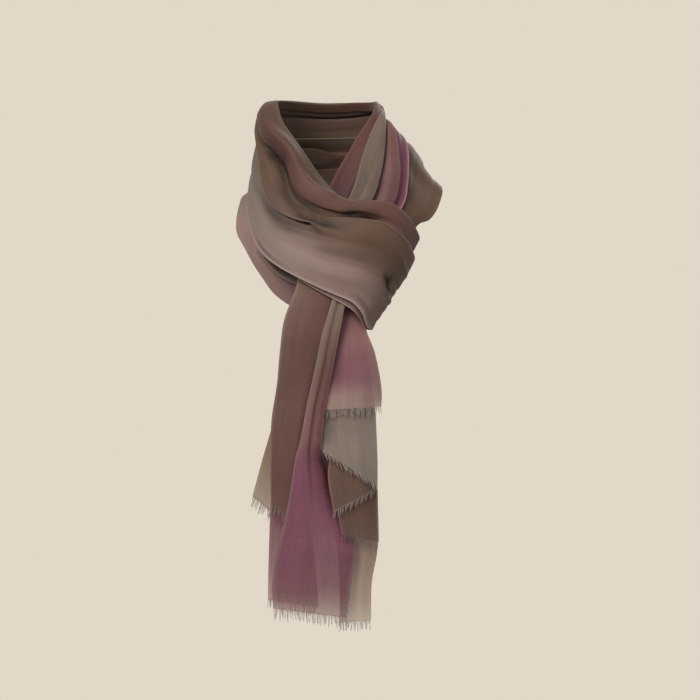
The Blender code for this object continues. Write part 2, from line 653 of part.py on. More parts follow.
def main():
    for old in list(bpy.data.objects):
        bpy.data.objects.remove(old)
    holder = bpy.data.objects.new("scarf", None)
    bpy.context.scene.collection.objects.link(holder)

    neck_end = len(NECK_STRANDS)
    nape_end = neck_end + len(NAPE_UPPER)
    front_end = len(FIRST_HALF) - 2
    shoulder_end = len(SHOULDER_FOLD)
    lower_end = shoulder_end + len(NAPE_LOWER)
    back_end = len(SECOND_HALF) - 2
    trim = 0.015
    wound = (
        # name, rows, folds, creases, hem, first, last, steps, flats, colour
        ("neck_strands", FIRST_HALF, FIRST_HALF_FOLDS, FIRST_HALF_CREASES, (8.0, 0.0),
         0.0, neck_end - trim, 17, 2, ROSEWOOD),
        ("nape_upper", FIRST_HALF, FIRST_HALF_FOLDS, FIRST_HALF_CREASES, (8.0, 0.0),
         neck_end + trim, nape_end - trim, 9, 2, ROSEWOOD),
        ("front_band", FIRST_HALF, FIRST_HALF_FOLDS, FIRST_HALF_CREASES, (10.0, 0.0),
         nape_end + trim, front_end - trim, 26, 3, GREIGE),
        ("bight", BIGHT, BIGHT_FOLDS, (), (10.0, 0.0), 1.0 + trim, 4.0 - trim, 9, 3, GREIGE),
        ("shoulder_fold", SECOND_HALF, SECOND_HALF_FOLDS, SECOND_HALF_CREASES, (0.0, 8.0),
         0.0, shoulder_end - trim, 14, 3, BROWN),
        ("nape_lower", SECOND_HALF, SECOND_HALF_FOLDS, SECOND_HALF_CREASES, (0.0, 8.0),
         shoulder_end + trim, lower_end - trim, 10, 2, BROWN),
        ("back_strand", SECOND_HALF, SECOND_HALF_FOLDS, SECOND_HALF_CREASES, (0.0, 8.0),
         lower_end + trim, back_end - trim, 16, 2, MAUVE),
    )
    for name, rows, folds, creases, hem, first, last, steps, flats, colour in wound:
        grid = cloth_grid(rows, folds, creases, hem, first, last, steps, flats, 1.0)
        add_object(name, *wall_mesh(grid), colour)

    tails = (
        # name, rows, creases, steps, flats, colour, alpha
        ("tail_left", TAIL_LEFT, TAIL_CREASES, 10, 6, ROSEWOOD, 1.0),
        ("tail_plum", TAIL_PLUM, TAIL_PLUM_CREASES, 16, 6, PLUM, 1.0),
        ("tail_pink", TAIL_PINK, TAIL_CREASES, 9, 6, MAUVE, 1.0),
        ("tail_grey", TAIL_GREY, TAIL_CREASES, 8, 6, GREIGE, 1.0),
        ("tail_brown", TAIL_BROWN, TAIL_CREASES, 8, 5, ROSEWOOD, 1.0),
        ("tail_brown_back", TAIL_BROWN_BACK, TAIL_CREASES, 8, 5, BROWN, 1.0),
        ("tail_sheer", TAIL_SHEER, TAIL_CREASES, 8, 5, PALE, 0.6),
        ("tail_under", TAIL_UNDER, TAIL_CREASES, 9, 5, PLUM, 1.0),
        ("flap_left", FLAP_LEFT, TAIL_CREASES, 8, 5, PALE, 0.6),
    )
    ends = {}
    for name, rows, creases, steps, flats, colour, alpha in tails:
        last = len(rows) - 1.0
        grid = cloth_grid(rows, (), creases, (0.0, 0.0), 0.0, last, steps, flats, -1.0)
        ends[name] = (grid[-1].copy(), colour)
        add_object(name, *wall_mesh(hang(grid)), colour, alpha)
    for name, length, lean in FRINGES:
        edge, colour = ends[name]
        vertices, faces = fringe_mesh(edge, length, lean)
        vertices = [tuple(vertex) for vertex in hang(np.array(vertices))]
        add_object("fringe_" + name.replace("tail_", ""), vertices, faces, colour)


main()
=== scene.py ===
import itertools
import json
import math

import bpy
import numpy as np
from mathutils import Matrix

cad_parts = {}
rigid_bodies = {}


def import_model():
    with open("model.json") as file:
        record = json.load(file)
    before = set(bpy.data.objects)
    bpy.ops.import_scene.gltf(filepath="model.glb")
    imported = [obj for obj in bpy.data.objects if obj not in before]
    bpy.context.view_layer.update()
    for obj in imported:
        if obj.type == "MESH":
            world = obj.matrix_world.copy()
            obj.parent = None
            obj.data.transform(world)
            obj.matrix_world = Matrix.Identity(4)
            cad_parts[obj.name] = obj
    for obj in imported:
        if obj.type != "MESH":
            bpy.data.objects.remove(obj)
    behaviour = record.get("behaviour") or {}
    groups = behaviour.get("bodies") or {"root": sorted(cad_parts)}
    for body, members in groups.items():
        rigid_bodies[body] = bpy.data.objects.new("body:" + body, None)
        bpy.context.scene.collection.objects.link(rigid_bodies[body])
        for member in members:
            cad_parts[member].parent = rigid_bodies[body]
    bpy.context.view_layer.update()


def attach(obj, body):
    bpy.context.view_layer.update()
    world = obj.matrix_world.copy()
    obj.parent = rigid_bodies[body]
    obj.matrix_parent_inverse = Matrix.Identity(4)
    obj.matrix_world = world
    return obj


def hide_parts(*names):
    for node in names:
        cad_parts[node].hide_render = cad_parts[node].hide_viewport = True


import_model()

# ---------------- the first half of the cloth
# The scarf is one rectangle of plain-woven silk organza, dyed in bands that run into each other
# from taupe through rosewood and mauve to plum. Its first half comes out of the loop, goes up the
# right side in four strips, round the back, and down over the front as a wide pleated band.
NECK_STRANDS = (
    # inner edge x, y, z, outer edge x, y, z, how far the middle stands out, in millimetres
    (-28, -79, -82, 42, -76, -88, 2), (-22, -74, -66, 51, -70, -76, 3), (-10, -66, -40, 62, -59, -50, 4),
    (2, -59, -16, 73, -50, -30, 6), (12, -54, 4, 76, -45, -14, 7), (21, -48, 19, 77, -39, 2, 7),
    (30, -41, 35, 77, -31, 16, 6), (38, -33, 46.5, 74, -21, 30, 4), (44, -22, 56, 64, -9, 40, 2),
    (46.5, -8, 65, 56, 5, 42, -1), (47, 12, 66, 58, 24, 32, 0),
)
NAPE_UPPER = (
    (39, 35, 66, 53, 53, 20, 3), (22, 48, 66, 30, 72, 13, 4), (0, 54, 65, 0, 79, 11, 4),
    (-21, 48, 66, -30, 73, 11, 4), (-38, 35, 67, -54, 56, 8, 4),
)
FRONT_BAND = (
    (-49, 16, 67, -70, 28, 0, 5), (-49.5, -4, 65, -75, 6, -14, 6), (-44, -25, 47, -77, -14, -24, 7),
    (-35, -38, 33, -77, -34, -36, 8), (-26, -47, 20, -75, -50, -49, 8),
    (-17, -54, 7, -70.5, -65, -66.5, 9), (-8, -60, -6, -63, -79, -79, 9), (2, -66, -17, -50, -91, -90, 9),
    (10, -70, -25, -31, -100, -101, 9), (20, -73, -28, -8.5, -105, -112, 8),
    (42, -73, -29, 10, -107, -120, 8), (61, -68, -32, 23, -107, -126, 8),
    (75, -61, -43, 32, -104, -136, 7), (84, -50, -56, 37, -97, -149, 4),
)
TURN_OF_LOOP = (
    (87, -41, -66, 42, -86, -152, 0), (78, -33, -69, 33, -77, -151, -1),
)
FIRST_HALF = NECK_STRANDS + NAPE_UPPER + FRONT_BAND + TURN_OF_LOOP[:1]
FIRST_HALF_FOLDS = (
    # first row, last row, its way as (row, place across) points that also say where its cloth lies
    #     before and after it is a pleat, lap, rise (below 0: it opens the other way), how strong the
    #     painted highlight on its edge is
    (10, 27.5, (
        (-3, 0.1), (3, 0.1), (6, 0.06), (10, 0.17), (13.5, 0.22), (17, 0.23), (18, 0.29), (19, 0.23),
        (20, 0.2), (21, 0.275), (22, 0.305), (23, 0.275), (24, 0.21), (25, 0.18), (27.5, 0.13), (33, 0.1),
    ), 9, 5.6, 0.05),
    (22.5, 32.4, (
        (-3, 0.22), (3, 0.21), (6, 0.12), (10, 0.28), (18, 0.36), (22.5, 0.35), (24, 0.29), (25, 0.255),
        (26, 0.235), (27, 0.25), (28, 0.235), (29, 0.21), (33, 0.21),
    ), 8, -5, 0.7),
    (-3, 10.3, (
        (-3, 0.34), (3, 0.31), (4, 0.27), (5, 0.227), (6, 0.2), (7, 0.18), (9.7, 0.3), (14, 0.34),
        (18, 0.4), (22, 0.45), (26, 0.34), (33, 0.36),
    ), 6, -4.6, 0.3),
    (-3, 25.4, (
        (-3, 0.58), (3, 0.57), (4, 0.54), (5, 0.52), (6, 0.44), (7, 0.35), (8, 0.33), (9.5, 0.36),
        (12, 0.46), (15, 0.42), (17, 0.38), (18, 0.42), (19, 0.5), (20, 0.62), (21, 0.6), (22, 0.56),
        (23, 0.48), (24, 0.43), (25, 0.4), (28, 0.46), (33, 0.5),
    ), 8, 4.8, 0.75),
    (-3, 9, (
        (-3, 0.86), (3, 0.85), (4, 0.83), (5, 0.8), (6, 0.67), (7, 0.61), (8, 0.54), (12, 0.7),
        (18, 0.75), (21, 0.82), (24, 0.74), (28, 0.68), (33, 0.72),
    ), 6, 4.6, 0.75),
)
FIRST_HALF_CREASES = (
    # first row, last row, place across at the first and at the last, half width, depth
    (-3, 9, 0.92, 0.88, 3, 1.8), (-3, 9, 0.14, 0.14, 5, 1.2), (16, 26, 0.14, 0.1, 10, -3.5),
    (16.5, 24, 0.8, 0.66, 4, 1.6), (20, 28.5, 0.76, 0.6, 6, 1.4), (23, 31, 0.88, 0.74, 5, -1.2),
    (11, 19, 0.84, 0.82, 4, 1.6),
    # finer ones, which only the cloth itself shows
    (-3, 6.5, 0.05, 0.08, 2.4, 0.5), (1, 8.5, 0.22, 0.2, 1.8, 0.4), (-3, 7, 0.4, 0.44, 2.2, 0.6),
    (2.5, 9, 0.49, 0.47, 1.6, 0.4), (-3, 8, 0.66, 0.64, 2.4, 0.6), (3, 9.5, 0.74, 0.72, 1.8, -0.4),
    (10, 16, 0.42, 0.46, 2.6, 0.7), (11.5, 17.5, 0.66, 0.7, 3, -0.8), (10.5, 15, 0.92, 0.9, 2.4, 0.6),
    (17, 22.5, 0.2, 0.17, 2.4, 0.5), (19.5, 26, 0.06, 0.08, 2, -0.5), (18, 25, 0.42, 0.4, 3, 0.7),
    (20.5, 27, 0.47, 0.44, 2.2, -0.5), (22, 29.5, 0.55, 0.46, 3, 0.6), (17.5, 23, 0.72, 0.76, 2.6, 0.6),
    (19, 24.5, 0.9, 0.93, 2.2, 0.5), (24, 32, 0.66, 0.62, 2.6, 0.7), (25.5, 33, 0.82, 0.8, 2.2, 0.6),
    (26.5, 34, 0.93, 0.9, 1.8, 0.5), (25, 33.5, 0.36, 0.42, 3.2, -0.7), (19, 24.8, 0.13, 0.1, 1.7, 1.3),
    (13, 20.5, 0.24, 0.2, 14, -3.6), (26, 34, 0.955, 0.95, 1.3, 1.3), (27, 35, 0.9, 0.89, 1.4, 1.1),
    (27.6, 35, 0.52, 0.64, 2.2, 1.4), (27.4, 35, 0.7, 0.66, 2.6, -1.4),
)
# Hollows beside a pleat: its number above, first and last row, how far off it, half width, depth.
FIRST_HALF_HOLLOWS = (
    (0, 16.8, 21.6, 5.6, 4.2, 9), (0, 19.5, 25.8, 8.5, 6.5, 6), (0, 24, 28.6, 3.6, 2.6, 5),
    (3, 19.6, 26, 8, 6, 5), (3, 21, 26.4, -5, 4, 5), (3, 16.6, 20.6, 6, 5, 2),
    (0, 16.2, 25.8, -9, 7.5, -4.2),
)
# Small openings: row, place across, half length in rows, half width, depth.
FIRST_HALF_DIMPLES = ((28.5, 0.61, 0.17, 3.2, 17),)
# Strokes of painted shade where the cloth lies deep, in recesses and the opening, and of painted
# highlight (below 0) where it stands up: half width, how much darker, and the (row, place across)
# points that the stroke runs through.
FIRST_HALF_SHADES = (
    (3.4, 0.9, ((18.2, 0.31), (19.2, 0.275), (19.9, 0.245), (20.8, 0.29))),
    (2, 0.62, (
        (16, 0.26), (18, 0.33), (19, 0.27), (20, 0.24), (21, 0.312), (22, 0.335), (23.4, 0.29), (25, 0.21),
    )),
    (6.5, 0.22, ((19, 0.32), (20, 0.33), (21, 0.4), (22, 0.42), (23.5, 0.36))),
    (3, 0.8, ((22.2, 0.51), (22.9, 0.465), (23.5, 0.42), (24.3, 0.38), (25.2, 0.35))),
    (5.5, 0.34, ((22.2, 0.48), (23.2, 0.41), (24.3, 0.36), (26, 0.33))),
    (5.5, 0.42, ((19.4, 0.67), (20.4, 0.69), (21.2, 0.67), (22, 0.64), (22.8, 0.6), (24, 0.53))),
    (3, 0.78, ((24.6, 0.19), (25.4, 0.185), (26.1, 0.195), (27.2, 0.225))),
    (7, 0.14, ((25, 0.17), (26, 0.165), (27, 0.18))),
    (1.6, 0.42, ((26, 0.215), (27, 0.235), (28, 0.225), (29.5, 0.18))),
    (3.2, -0.2, ((20, 0.12), (21, 0.14), (22, 0.18), (23, 0.17), (24.5, 0.12), (26, 0.1))),
    (1.5, 0.3, ((20, 0.04), (21, 0.07), (22, 0.085), (23.4, 0.07), (24.6, 0.05))),
    (1.3, 0.62, ((20.6, 0.955), (21.6, 0.955), (22.6, 0.965), (24.2, 0.975))),
    (1.2, 0.4, ((26.2, 0.955), (27.2, 0.945), (28.2, 0.93), (29.6, 0.93))),
    (1.2, -0.35, ((26.4, 0.93), (27.4, 0.915), (28.6, 0.9))),
    (3.3, 1.0, ((27.7, 0.622), (28.4, 0.635), (29.2, 0.66))),
    (14, 0.16, ((25, 0.5), (26.5, 0.5), (28, 0.55), (30, 0.5))),
    (9, -0.1, ((22.5, 0.76), (24, 0.74), (26, 0.72), (27.5, 0.8))),
    (2, 0.4, ((-3, 0.37), (3, 0.335), (4, 0.295), (5, 0.25), (6, 0.22), (7.5, 0.2))),
    (2.4, 0.5, ((-3, 0.61), (3, 0.6), (4, 0.57), (5, 0.55), (6, 0.47), (7, 0.39), (8.5, 0.35))),
    (2.2, 0.35, ((-3, 0.89), (3, 0.88), (4, 0.86), (5, 0.83), (6, 0.7), (7, 0.64))),
    (16, 0.34, ((-1, 0.1), (2, 0.1), (3.6, 0.08))),
)
FIRST_HALF_STRETCHES = {
    # first and last row, sections, points between pleats, rolled edges, flat width and length
    "neck_strands": (0, 11, 90, 7, (8, 0), (0.124, 0.205)),
    "nape_upper": (11, 16, 44, 7, (8, 0), (0.106, 0.150)),
    "front_band": (16, 29, 130, 8, (10, 0), (0.132, 0.255)),
}

MILLIMETRE = 0.001
STUDIO = bpy.context.scene.collection.objects
SHELL = 0.4  # thickness of the cloth as it shows
WALL = 1.2  # thickness of the cloth in the solids, for which a pleat leaves room
HEM_STEP = 2.3  # how far under the edge a rolled edge lies
TURN = 1.3  # how far a pleat's turn reaches past its lap
RAMP = 3.0  # rows that a pleat or crease takes to grow or fade
FIRM = 0.25  # how far grown a pleat is when the others leave it its whole room
SPREAD = 1.2  # distance between the six points of a pleat before it is laid
STEP_HEIGHTS = (1.0, 0.95, 0.85, 0.15, 0.05, 0.0)  # of its points as it rises, and as it laps
LAP_HEIGHTS = (1.0, 0.78, 0.57, 0.43, 0.22, 0.0)
RISE_RUN = 3.6  # room across for a pleat's slope
FULL_WIDTH = 62.0  # width at which pleats have their whole lap and rise
EDGE_EASE = 14.0  # how near to the edge a pleat still lifts it
REST_GAP = 10.0  # distance between pleats that lie plain
LEVEL_LIMIT = 0.36  # the most of a panel that stays level beside a pleat
SETTLED = 0.75  # how far grown a pleat is when it has its own place
SHADE_EASE = 0.35  # part of a stroke of shade over which it comes and goes
CLOSE_COVER = ((0.0, 0.93),)  # how much of what is behind it the close cloth hides, by row


def smooth(value):
    value = min(max(value, 0.0), 1.0)
    return value * value * (3.0 - 2.0 * value)


def table_at(rows, place):
    """The smooth run through a table's rows at place, a row number with a fraction."""
    last = len(rows) - 1
    index = min(max(math.floor(place), 0), last - 1)
    part = place - index
    here = np.array(rows[index], float)
    after = np.array(rows[index + 1], float)
    before = np.array(rows[index - 1], float) if index > 0 else 2.0 * here - after
    beyond = np.array(rows[index + 2], float) if index + 2 <= last else 2.0 * after - here
    slope_here = (after - before) / 2.0
    slope_after = (beyond - here) / 2.0
    part_2 = part * part
    part_3 = part_2 * part
    return (
        (2.0 * part_3 - 3.0 * part_2 + 1.0) * here
        + (part_3 - 2.0 * part_2 + part) * slope_here
        + (3.0 * part_2 - 2.0 * part_3) * after
        + (part_3 - part_2) * slope_after
    )


def strength(place, start, end):
    """How far a pleat or crease is grown at place, between its first and its last row."""
    return min(smooth((place - start) / RAMP), smooth((end - place) / RAMP))


def units(vectors):
    return vectors / np.maximum(np.linalg.norm(vectors, axis=-1, keepdims=True), 1e-9)


def plain_line(rows, place, share, facing=1.0):
    """Points of the unfolded cloth across one section, which stands out in its middle."""
    row = table_at(rows, place)
    ahead = table_at(rows, place + 0.05)
    behind = table_at(rows, place - 0.05)
    across = row[3:6] - row[0:3]
    flow = (ahead[0:3] + ahead[3:6]) - (behind[0:3] + behind[3:6])
    outward = units(np.cross(across, flow)) * facing
    arch = np.where((share > 0.0) & (share < 1.0), 4.0 * share * (1.0 - share), 0.0)
    return row[0:3] + share[:, None] * across + (row[6] * arch)[:, None] * outward


def outward_line(rows, place, share):
    """The way out from the unfolded cloth at each point across."""
    share = np.clip(share, 0.02, 0.98)
    across = plain_line(rows, place, share + 0.02) - plain_line(rows, place, share - 0.02)
    along = plain_line(rows, place + 0.05, share) - plain_line(rows, place - 0.05, share)
    return units(np.cross(across, along))


def fold_lap(folds, centres, grown, number, width):
    """How far a pleat laps over, with the room that its neighbours and the edges leave it."""
    fold = folds[number]
    lap = fold[3] * min(1.0, width / FULL_WIDTH)
    side = -1 if fold[4] > 0.0 else 1
    room = centres[number] if side < 0 else width - centres[number]
    room -= RISE_RUN
    others = range(number - 1, -1, -1) if side < 0 else range(number + 1, len(folds))
    for other in others:
        distance = abs(centres[number] - centres[other]) + width * (1.0 - smooth(grown[other] / FIRM))
        facing = fold[4] * folds[other][4] < 0.0
        room = min(room, distance / 2.0 - WALL if facing else distance - TURN - RISE_RUN)
    return min(lap, max(room - TURN, 0.5))


def fold_centre(fold, place, width):
    """How far from the first edge a pleat lies at a section, its corners eased."""
    rows, shares = zip(*fold[2])
    return width * sum(np.interp(place + step, rows, shares) for step in (-0.6, -0.2, 0.2, 0.6)) / 4.0


def fold_points(fold, centre, grown, lap, width):
    """The six (share, height) points of one lapped pleat, and how far the cloth by it is level."""
    rise = abs(fold[4]) * min(1.0, 0.5 + 0.5 * width / FULL_WIDTH)
    up = smooth(grown * 2.0)
    under = smooth(grown * 2.0 - 1.0)
    step = [((number - 2.5) * SPREAD, height) for number, height in enumerate(STEP_HEIGHTS)]
    laps = list(zip((0.0, TURN, 0.0, -lap, -lap - TURN, -lap), LAP_HEIGHTS))
    if fold[4] < 0.0:
        step = [(-along, height) for along, height in reversed(step)]
        laps = [(-along, height) for along, height in reversed(laps)]
    points = []
    for (plain, high), (along, height) in zip(step, laps):
        offset = plain + (along - plain) * under
        points.append(((centre + offset) / width, rise * up * (high + (height - high) * under)))
    return points, (lap + TURN + WALL / 2.0) * under / width


def flat_points(first, last, count, level_first, level_last):
    """Points of the plain cloth from one pleat to the next, level beside each of them."""
    length = max(last[0] - first[0], 1e-6)
    low, high = level_first / length, 1.0 - level_last / length
    if high - low < 0.1:
        middle = level_first / max(level_first + level_last, 1e-6)
        low, high = 0.9 * middle, 0.9 * middle + 0.1
    begin = min(max(low, 1.0 / (count + 1.0)), LEVEL_LIMIT)
    finish = max(min(high, count / (count + 1.0)), 1.0 - LEVEL_LIMIT)
    found = []
    for number in range(count):
        part = begin + (finish - begin) * (number / (count - 1.0) if count > 1 else 0.5)
        ease = smooth((part - low) / (high - low))
        found.append((first[0] + length * part, first[1] + (last[1] - first[1]) * ease))
    return found


def resting_places(wanted, start, end):
    """Places for the plain cloth of the pleats that aren't laid here, in their order."""
    gap = min((end - start) / (len(wanted) + 1.0), REST_GAP)
    places = []
    for number, want in enumerate(wanted):
        low = (places[-1] if places else start) + gap
        high = end - gap * (len(wanted) - number)
        places.append(min(max(want, low), high))
    return places, min(SPREAD, gap / 8.0)


def plain_height(start, end, share):
    """How high the cloth between two pleats lies at share."""
    (first, level_first), (last, level_last) = start, end
    length = max(last[0] - first[0], 1e-6)
    low, high = level_first / length, 1.0 - level_last / length
    ease = smooth(((share - first[0]) / length - low) / max(high - low, 0.1))
    return first[1] + (last[1] - first[1]) * ease


def layout(own, centres, firm, flats, width):
    """(share, height) points from edge to edge, with the firm pleats in their own places and the
    cloth of the others lying plainly between them."""
    groups = [group for group, level in own]
    levels = [own[number][1] if number in firm else 0.0 for number in range(len(own))]
    edge_height = 0.0
    if firm:
        end = groups[firm[-1]][-1]
        edge_height = end[1] * (1.0 - smooth((1.0 - end[0]) * width / EDGE_EASE))
    for first, last in zip([-1] + firm, firm + [len(own)]):
        start = (groups[first][-1], levels[first]) if first >= 0 else ((0.0, 0.0), 0.0)
        end = (groups[last][0], levels[last]) if last < len(own) else ((1.0, edge_height), 0.0)
        waiting = range(first + 1, last)
        wanted = [centres[number] for number in waiting]
        places, apart = resting_places(wanted, start[0][0] * width, end[0][0] * width)
        for number, place in zip(waiting, places):
            shares = [(place + (step - 2.5) * apart) / width for step in range(6)]
            groups[number] = [(share, plain_height(start, end, share)) for share in shares]
    points = [(0.0, 0.0)]
    held = 0.0
    for group, level in zip(groups, levels):
        points += flat_points(points[-1], group[0], flats, held, level) + group
        held = level
    points += flat_points(points[-1], (1.0, edge_height), flats, held, 0.0)
    return np.array(points + [(1.0, edge_height)])


def laid_section(folds, place, flats, width):
    """The section with its pleats laid, each one growing out of plain cloth and back into it."""
    grown = [strength(place, fold[0], fold[1]) for fold in folds]
    centres = [fold_centre(fold, place, width) for fold in folds]
    own = []
    for number, fold in enumerate(folds):
        lap = fold_lap(folds, centres, grown, number, width)
        own.append(fold_points(fold, centres[number], grown[number], lap, width))
    settled = [smooth((now - 0.02) / (SETTLED - 0.02)) for now in grown]
    choices = [[(True, now)] * (now > 0.0) + [(False, 1.0 - now)] * (now < 1.0) for now in settled]
    points = 0.0
    for pick in itertools.product(*choices):
        weight = math.prod(part for is_firm, part in pick)
        firm = [number for number, (is_firm, part) in enumerate(pick) if is_firm]
        points = points + weight * layout(own, centres, firm, flats, width)
    return points, grown, centres


def cloth_section(laid, hem, place, flats, width):
    """The laid section with its rolled edges, creases, hollows and openings."""
    points, grown, centres = laid_section(laid["folds"], place, flats, width)
    share, height = points.T
    if hem[0]:
        share = np.append([hem[0] / width, 0.0, -TURN / width], share)
        height = np.append([-HEM_STEP, -HEM_STEP, -HEM_STEP / 2.0], height)
    if hem[1]:
        share = np.append(share, [1.0 + TURN / width, 1.0, 1.0 - hem[1] / width])
        height = np.append(height, height[-1] - np.array([HEM_STEP / 2.0, HEM_STEP, HEM_STEP]))
    lowered = height.copy()
    for start, end, at_start, at_end, half_width, depth in laid.get("creases", ()):
        span = min(max((place - start) / (end - start), 0.0), 1.0)
        offset = (share - at_start - (at_end - at_start) * span) * width / half_width
        lowered -= depth * strength(place, start, end) * np.exp(-offset * offset)
    for number, start, end, beside, half_width, depth in laid.get("hollows", ()):
        offset = (share * width - centres[number] - beside) / half_width
        lowered -= depth * strength(place, start, end) * np.exp(-offset * offset)
    for row, across, half_length, half_width, depth in laid.get("dimples", ()):
        offset = ((place - row) / half_length) ** 2 + ((share - across) * width / half_width) ** 2
        lowered -= depth * np.exp(-offset)
    return share, lowered, grown


def shade_of(shades, place, share, width):
    """How much of its colour each point across keeps under the strokes of painted shade; a stroke below 0
    is painted highlight and adds to it.
    """
    kept = np.ones(len(share))
    for half_width, darker, path in shades:
        rows, shares = zip(*path)
        ease = SHADE_EASE * (rows[-1] - rows[0])
        there = min(smooth((place - rows[0]) / ease), smooth((rows[-1] - place) / ease))
        offset = (share - np.interp(place, rows, shares)) * width / half_width
        kept *= 1.0 - darker * there * np.exp(-offset * offset)
    return kept


def column_plan(folds, flats, hem):
    """For each point across: its mix of the dye stops on either side of every panel, and the pleat
    whose outer edge it is, or the selvedge."""
    panels = len(folds) + 1
    plan = []

    def point(stop, onward, edge=None):
        mix = np.zeros(2 * panels)
        mix[stop:stop + 2] = 1.0 - onward, onward
        plan.append((mix, edge))

    for _ in range(3 if hem[0] else 0):
        point(0, 0.0)
    point(0, 0.0, "edge_a")
    for panel in range(panels):
        for number in range(flats):
            point(2 * panel, (number + 1.0) / (flats + 1.0))
        if panel < len(folds):
            crest = 1 if folds[panel][4] > 0.0 else 4
            for number, onward in enumerate((0.0, 0.0, 0.25, 0.75, 1.0, 1.0)):
                point(2 * panel + 1, onward, panel if number == crest else None)
    point(2 * panels - 2, 1.0, "edge_b")
    for _ in range(3 if hem[1] else 0):
        point(2 * panels - 2, 1.0)
    return plan


def rounded(values):
    """Cuts the corners across a grid, so that each pleat's edge is round."""
    for _ in range(2):
        near = 0.75 * values[:, :-1] + 0.25 * values[:, 1:]
        far = 0.25 * values[:, :-1] + 0.75 * values[:, 1:]
        mixed = np.empty((values.shape[0], 2 * near.shape[1]) + values.shape[2:])
        mixed[:, 0::2], mixed[:, 1::2] = near, far
        mixed[:, 0], mixed[:, -1] = values[:, 0], values[:, -1]
        values = mixed
    return values


def dyed(colour):
    """A dye as light, from the two-digit steps of its red, green and blue."""
    steps = [int(colour[index:index + 2], 16) / 255.0 for index in (0, 2, 4)]
    return tuple(s / 12.92 if s <= 0.04045 else ((s + 0.055) / 1.055) ** 2.4 for s in steps)


def edge_light(edge, folds, grown, rim):
    """How much painted highlight a pleat's outer edge or a selvedge gets. The cloth between them has none
    of it.
    """
    if edge is None or isinstance(edge, str):
        return rim.get(edge, 0.0)
    return folds[edge][5] * smooth(2.0 * grown[edge] - 1.0)


def woven_cloth(name, rows, laid, hem, rows_used, steps, flats, cover, facing=1.0, fall=None):
    """One stretch of the cloth as a thin shell, with its dye and painted shade, its painted edge
    highlights and its cover stored on it. Returns the object and its last section."""
    first, last = rows_used
    folds = laid["folds"]
    plan = column_plan(folds, flats, hem)
    mixes = np.array([mix for mix, edge in plan])
    grid, colour, lit, thin = [], [], [], []
    for step in range(steps + 1):
        place = first + (last - first) * step / steps
        row = table_at(rows, place)
        width = np.linalg.norm(row[3:6] - row[0:3])
        share, height, grown = cloth_section(laid, hem, place, flats, width)
        out = outward_line(rows, place, share) * facing
        grid.append(plain_line(rows, place, share, facing) + out * height[:, None])
        stops = []
        for panel in laid["dyes_and_shade"]:
            places = [stop[0] for stop in panel]
            for side in (1, -1):
                bands = zip(*(dyed(stop[side]) for stop in panel))
                stops.append([np.interp(place, places, band) for band in bands])
        kept = shade_of(laid.get("shades", ()), place, share, width)
        # The strokes of painted shade and highlight are multiplied into the stored colour.
        colour.append((mixes @ np.array(stops)) * kept[:, None])
        lit.append([edge_light(edge, folds, grown, laid["rim"]) for mix, edge in plan])
        thin.append([np.interp(place, *zip(*cover))] * len(plan))
    grid = np.array(grid)
    if fall is not None:
        grid = fall(grid)
    end = grid[-1].copy()
    across = np.linalg.norm(np.diff(grid, axis=1), axis=2).mean(0)
    along = np.linalg.norm(np.diff(grid, axis=0), axis=2).mean(1)
    u, v = np.meshgrid(np.append(0.0, np.cumsum(across)), np.append(0.0, np.cumsum(along)))
    grid, weave, colour = rounded(grid), rounded(np.dstack([u, v])), rounded(np.array(colour))
    lit, thin = rounded(np.array(lit)), rounded(np.array(thin))

    count, wide = grid.shape[:2]
    corner = np.arange(count * wide).reshape(count, wide)
    faces = np.stack([corner[:-1, :-1], corner[1:, :-1], corner[1:, 1:], corner[:-1, 1:]], axis=2)
    if facing < 0.0:
        faces = faces[:, :, ::-1]
    mesh = bpy.data.meshes.new(name)
    mesh.from_pydata((grid.reshape(-1, 3) * MILLIMETRE).tolist(), [], faces.reshape(-1, 4).tolist())
    mesh.polygons.foreach_set("use_smooth", [True] * len(mesh.polygons))
    dye_and_shade = mesh.color_attributes.new("dye_and_shade", "FLOAT_COLOR", "POINT")
    dye_and_shade.data.foreach_set("color", np.dstack([colour, np.ones(colour.shape[:2])]).ravel())
    for label, values in (("lit_edge", lit), ("cover", thin)):
        mesh.attributes.new(label, "FLOAT", "POINT").data.foreach_set("value", values.ravel())
    border = np.zeros((count, wide), bool)
    border[[0, -1], :] = border[:, [0, -1]] = True
    border = border.ravel()
    cut = [bool(border[edge.vertices[0]] and border[edge.vertices[1]]) for edge in mesh.edges]
    mesh.attributes.new("sharp_edge", "BOOLEAN", "EDGE").data.foreach_set("value", cut)
    layer = mesh.uv_layers.new(name="threads")
    loops = np.empty(len(mesh.loops), int)
    mesh.loops.foreach_get("vertex_index", loops)
    layer.data.foreach_set("uv", weave.reshape(-1, 2)[loops].ravel())
    piece = bpy.data.objects.new(name, mesh)
    STUDIO.link(piece)
    shell = piece.modifiers.new("shell", "SOLIDIFY")
    shell.thickness = SHELL * MILLIMETRE
    shell.offset = 0.0
    return piece, end


def taken_unevenly(material, dye_and_shade, uneven, span, slub):
    """The dye taken more or less by slub where the threads' unevenness runs over its span."""
    nodes, links = material.node_tree.nodes, material.node_tree.links
    spread = nodes.new("ShaderNodeMapRange")
    spread.inputs["From Min"].default_value, spread.inputs["From Max"].default_value = span
    spread.inputs["To Min"].default_value = 1.0 - slub
    spread.inputs["To Max"].default_value = 1.0 + slub
    links.new(uneven, spread.inputs["Value"])
    taken = nodes.new("ShaderNodeVectorMath")
    taken.operation = "SCALE"
    links.new(dye_and_shade, taken.inputs[0])
    links.new(spread.outputs["Result"], taken.inputs["Scale"])
    return taken.outputs["Vector"]


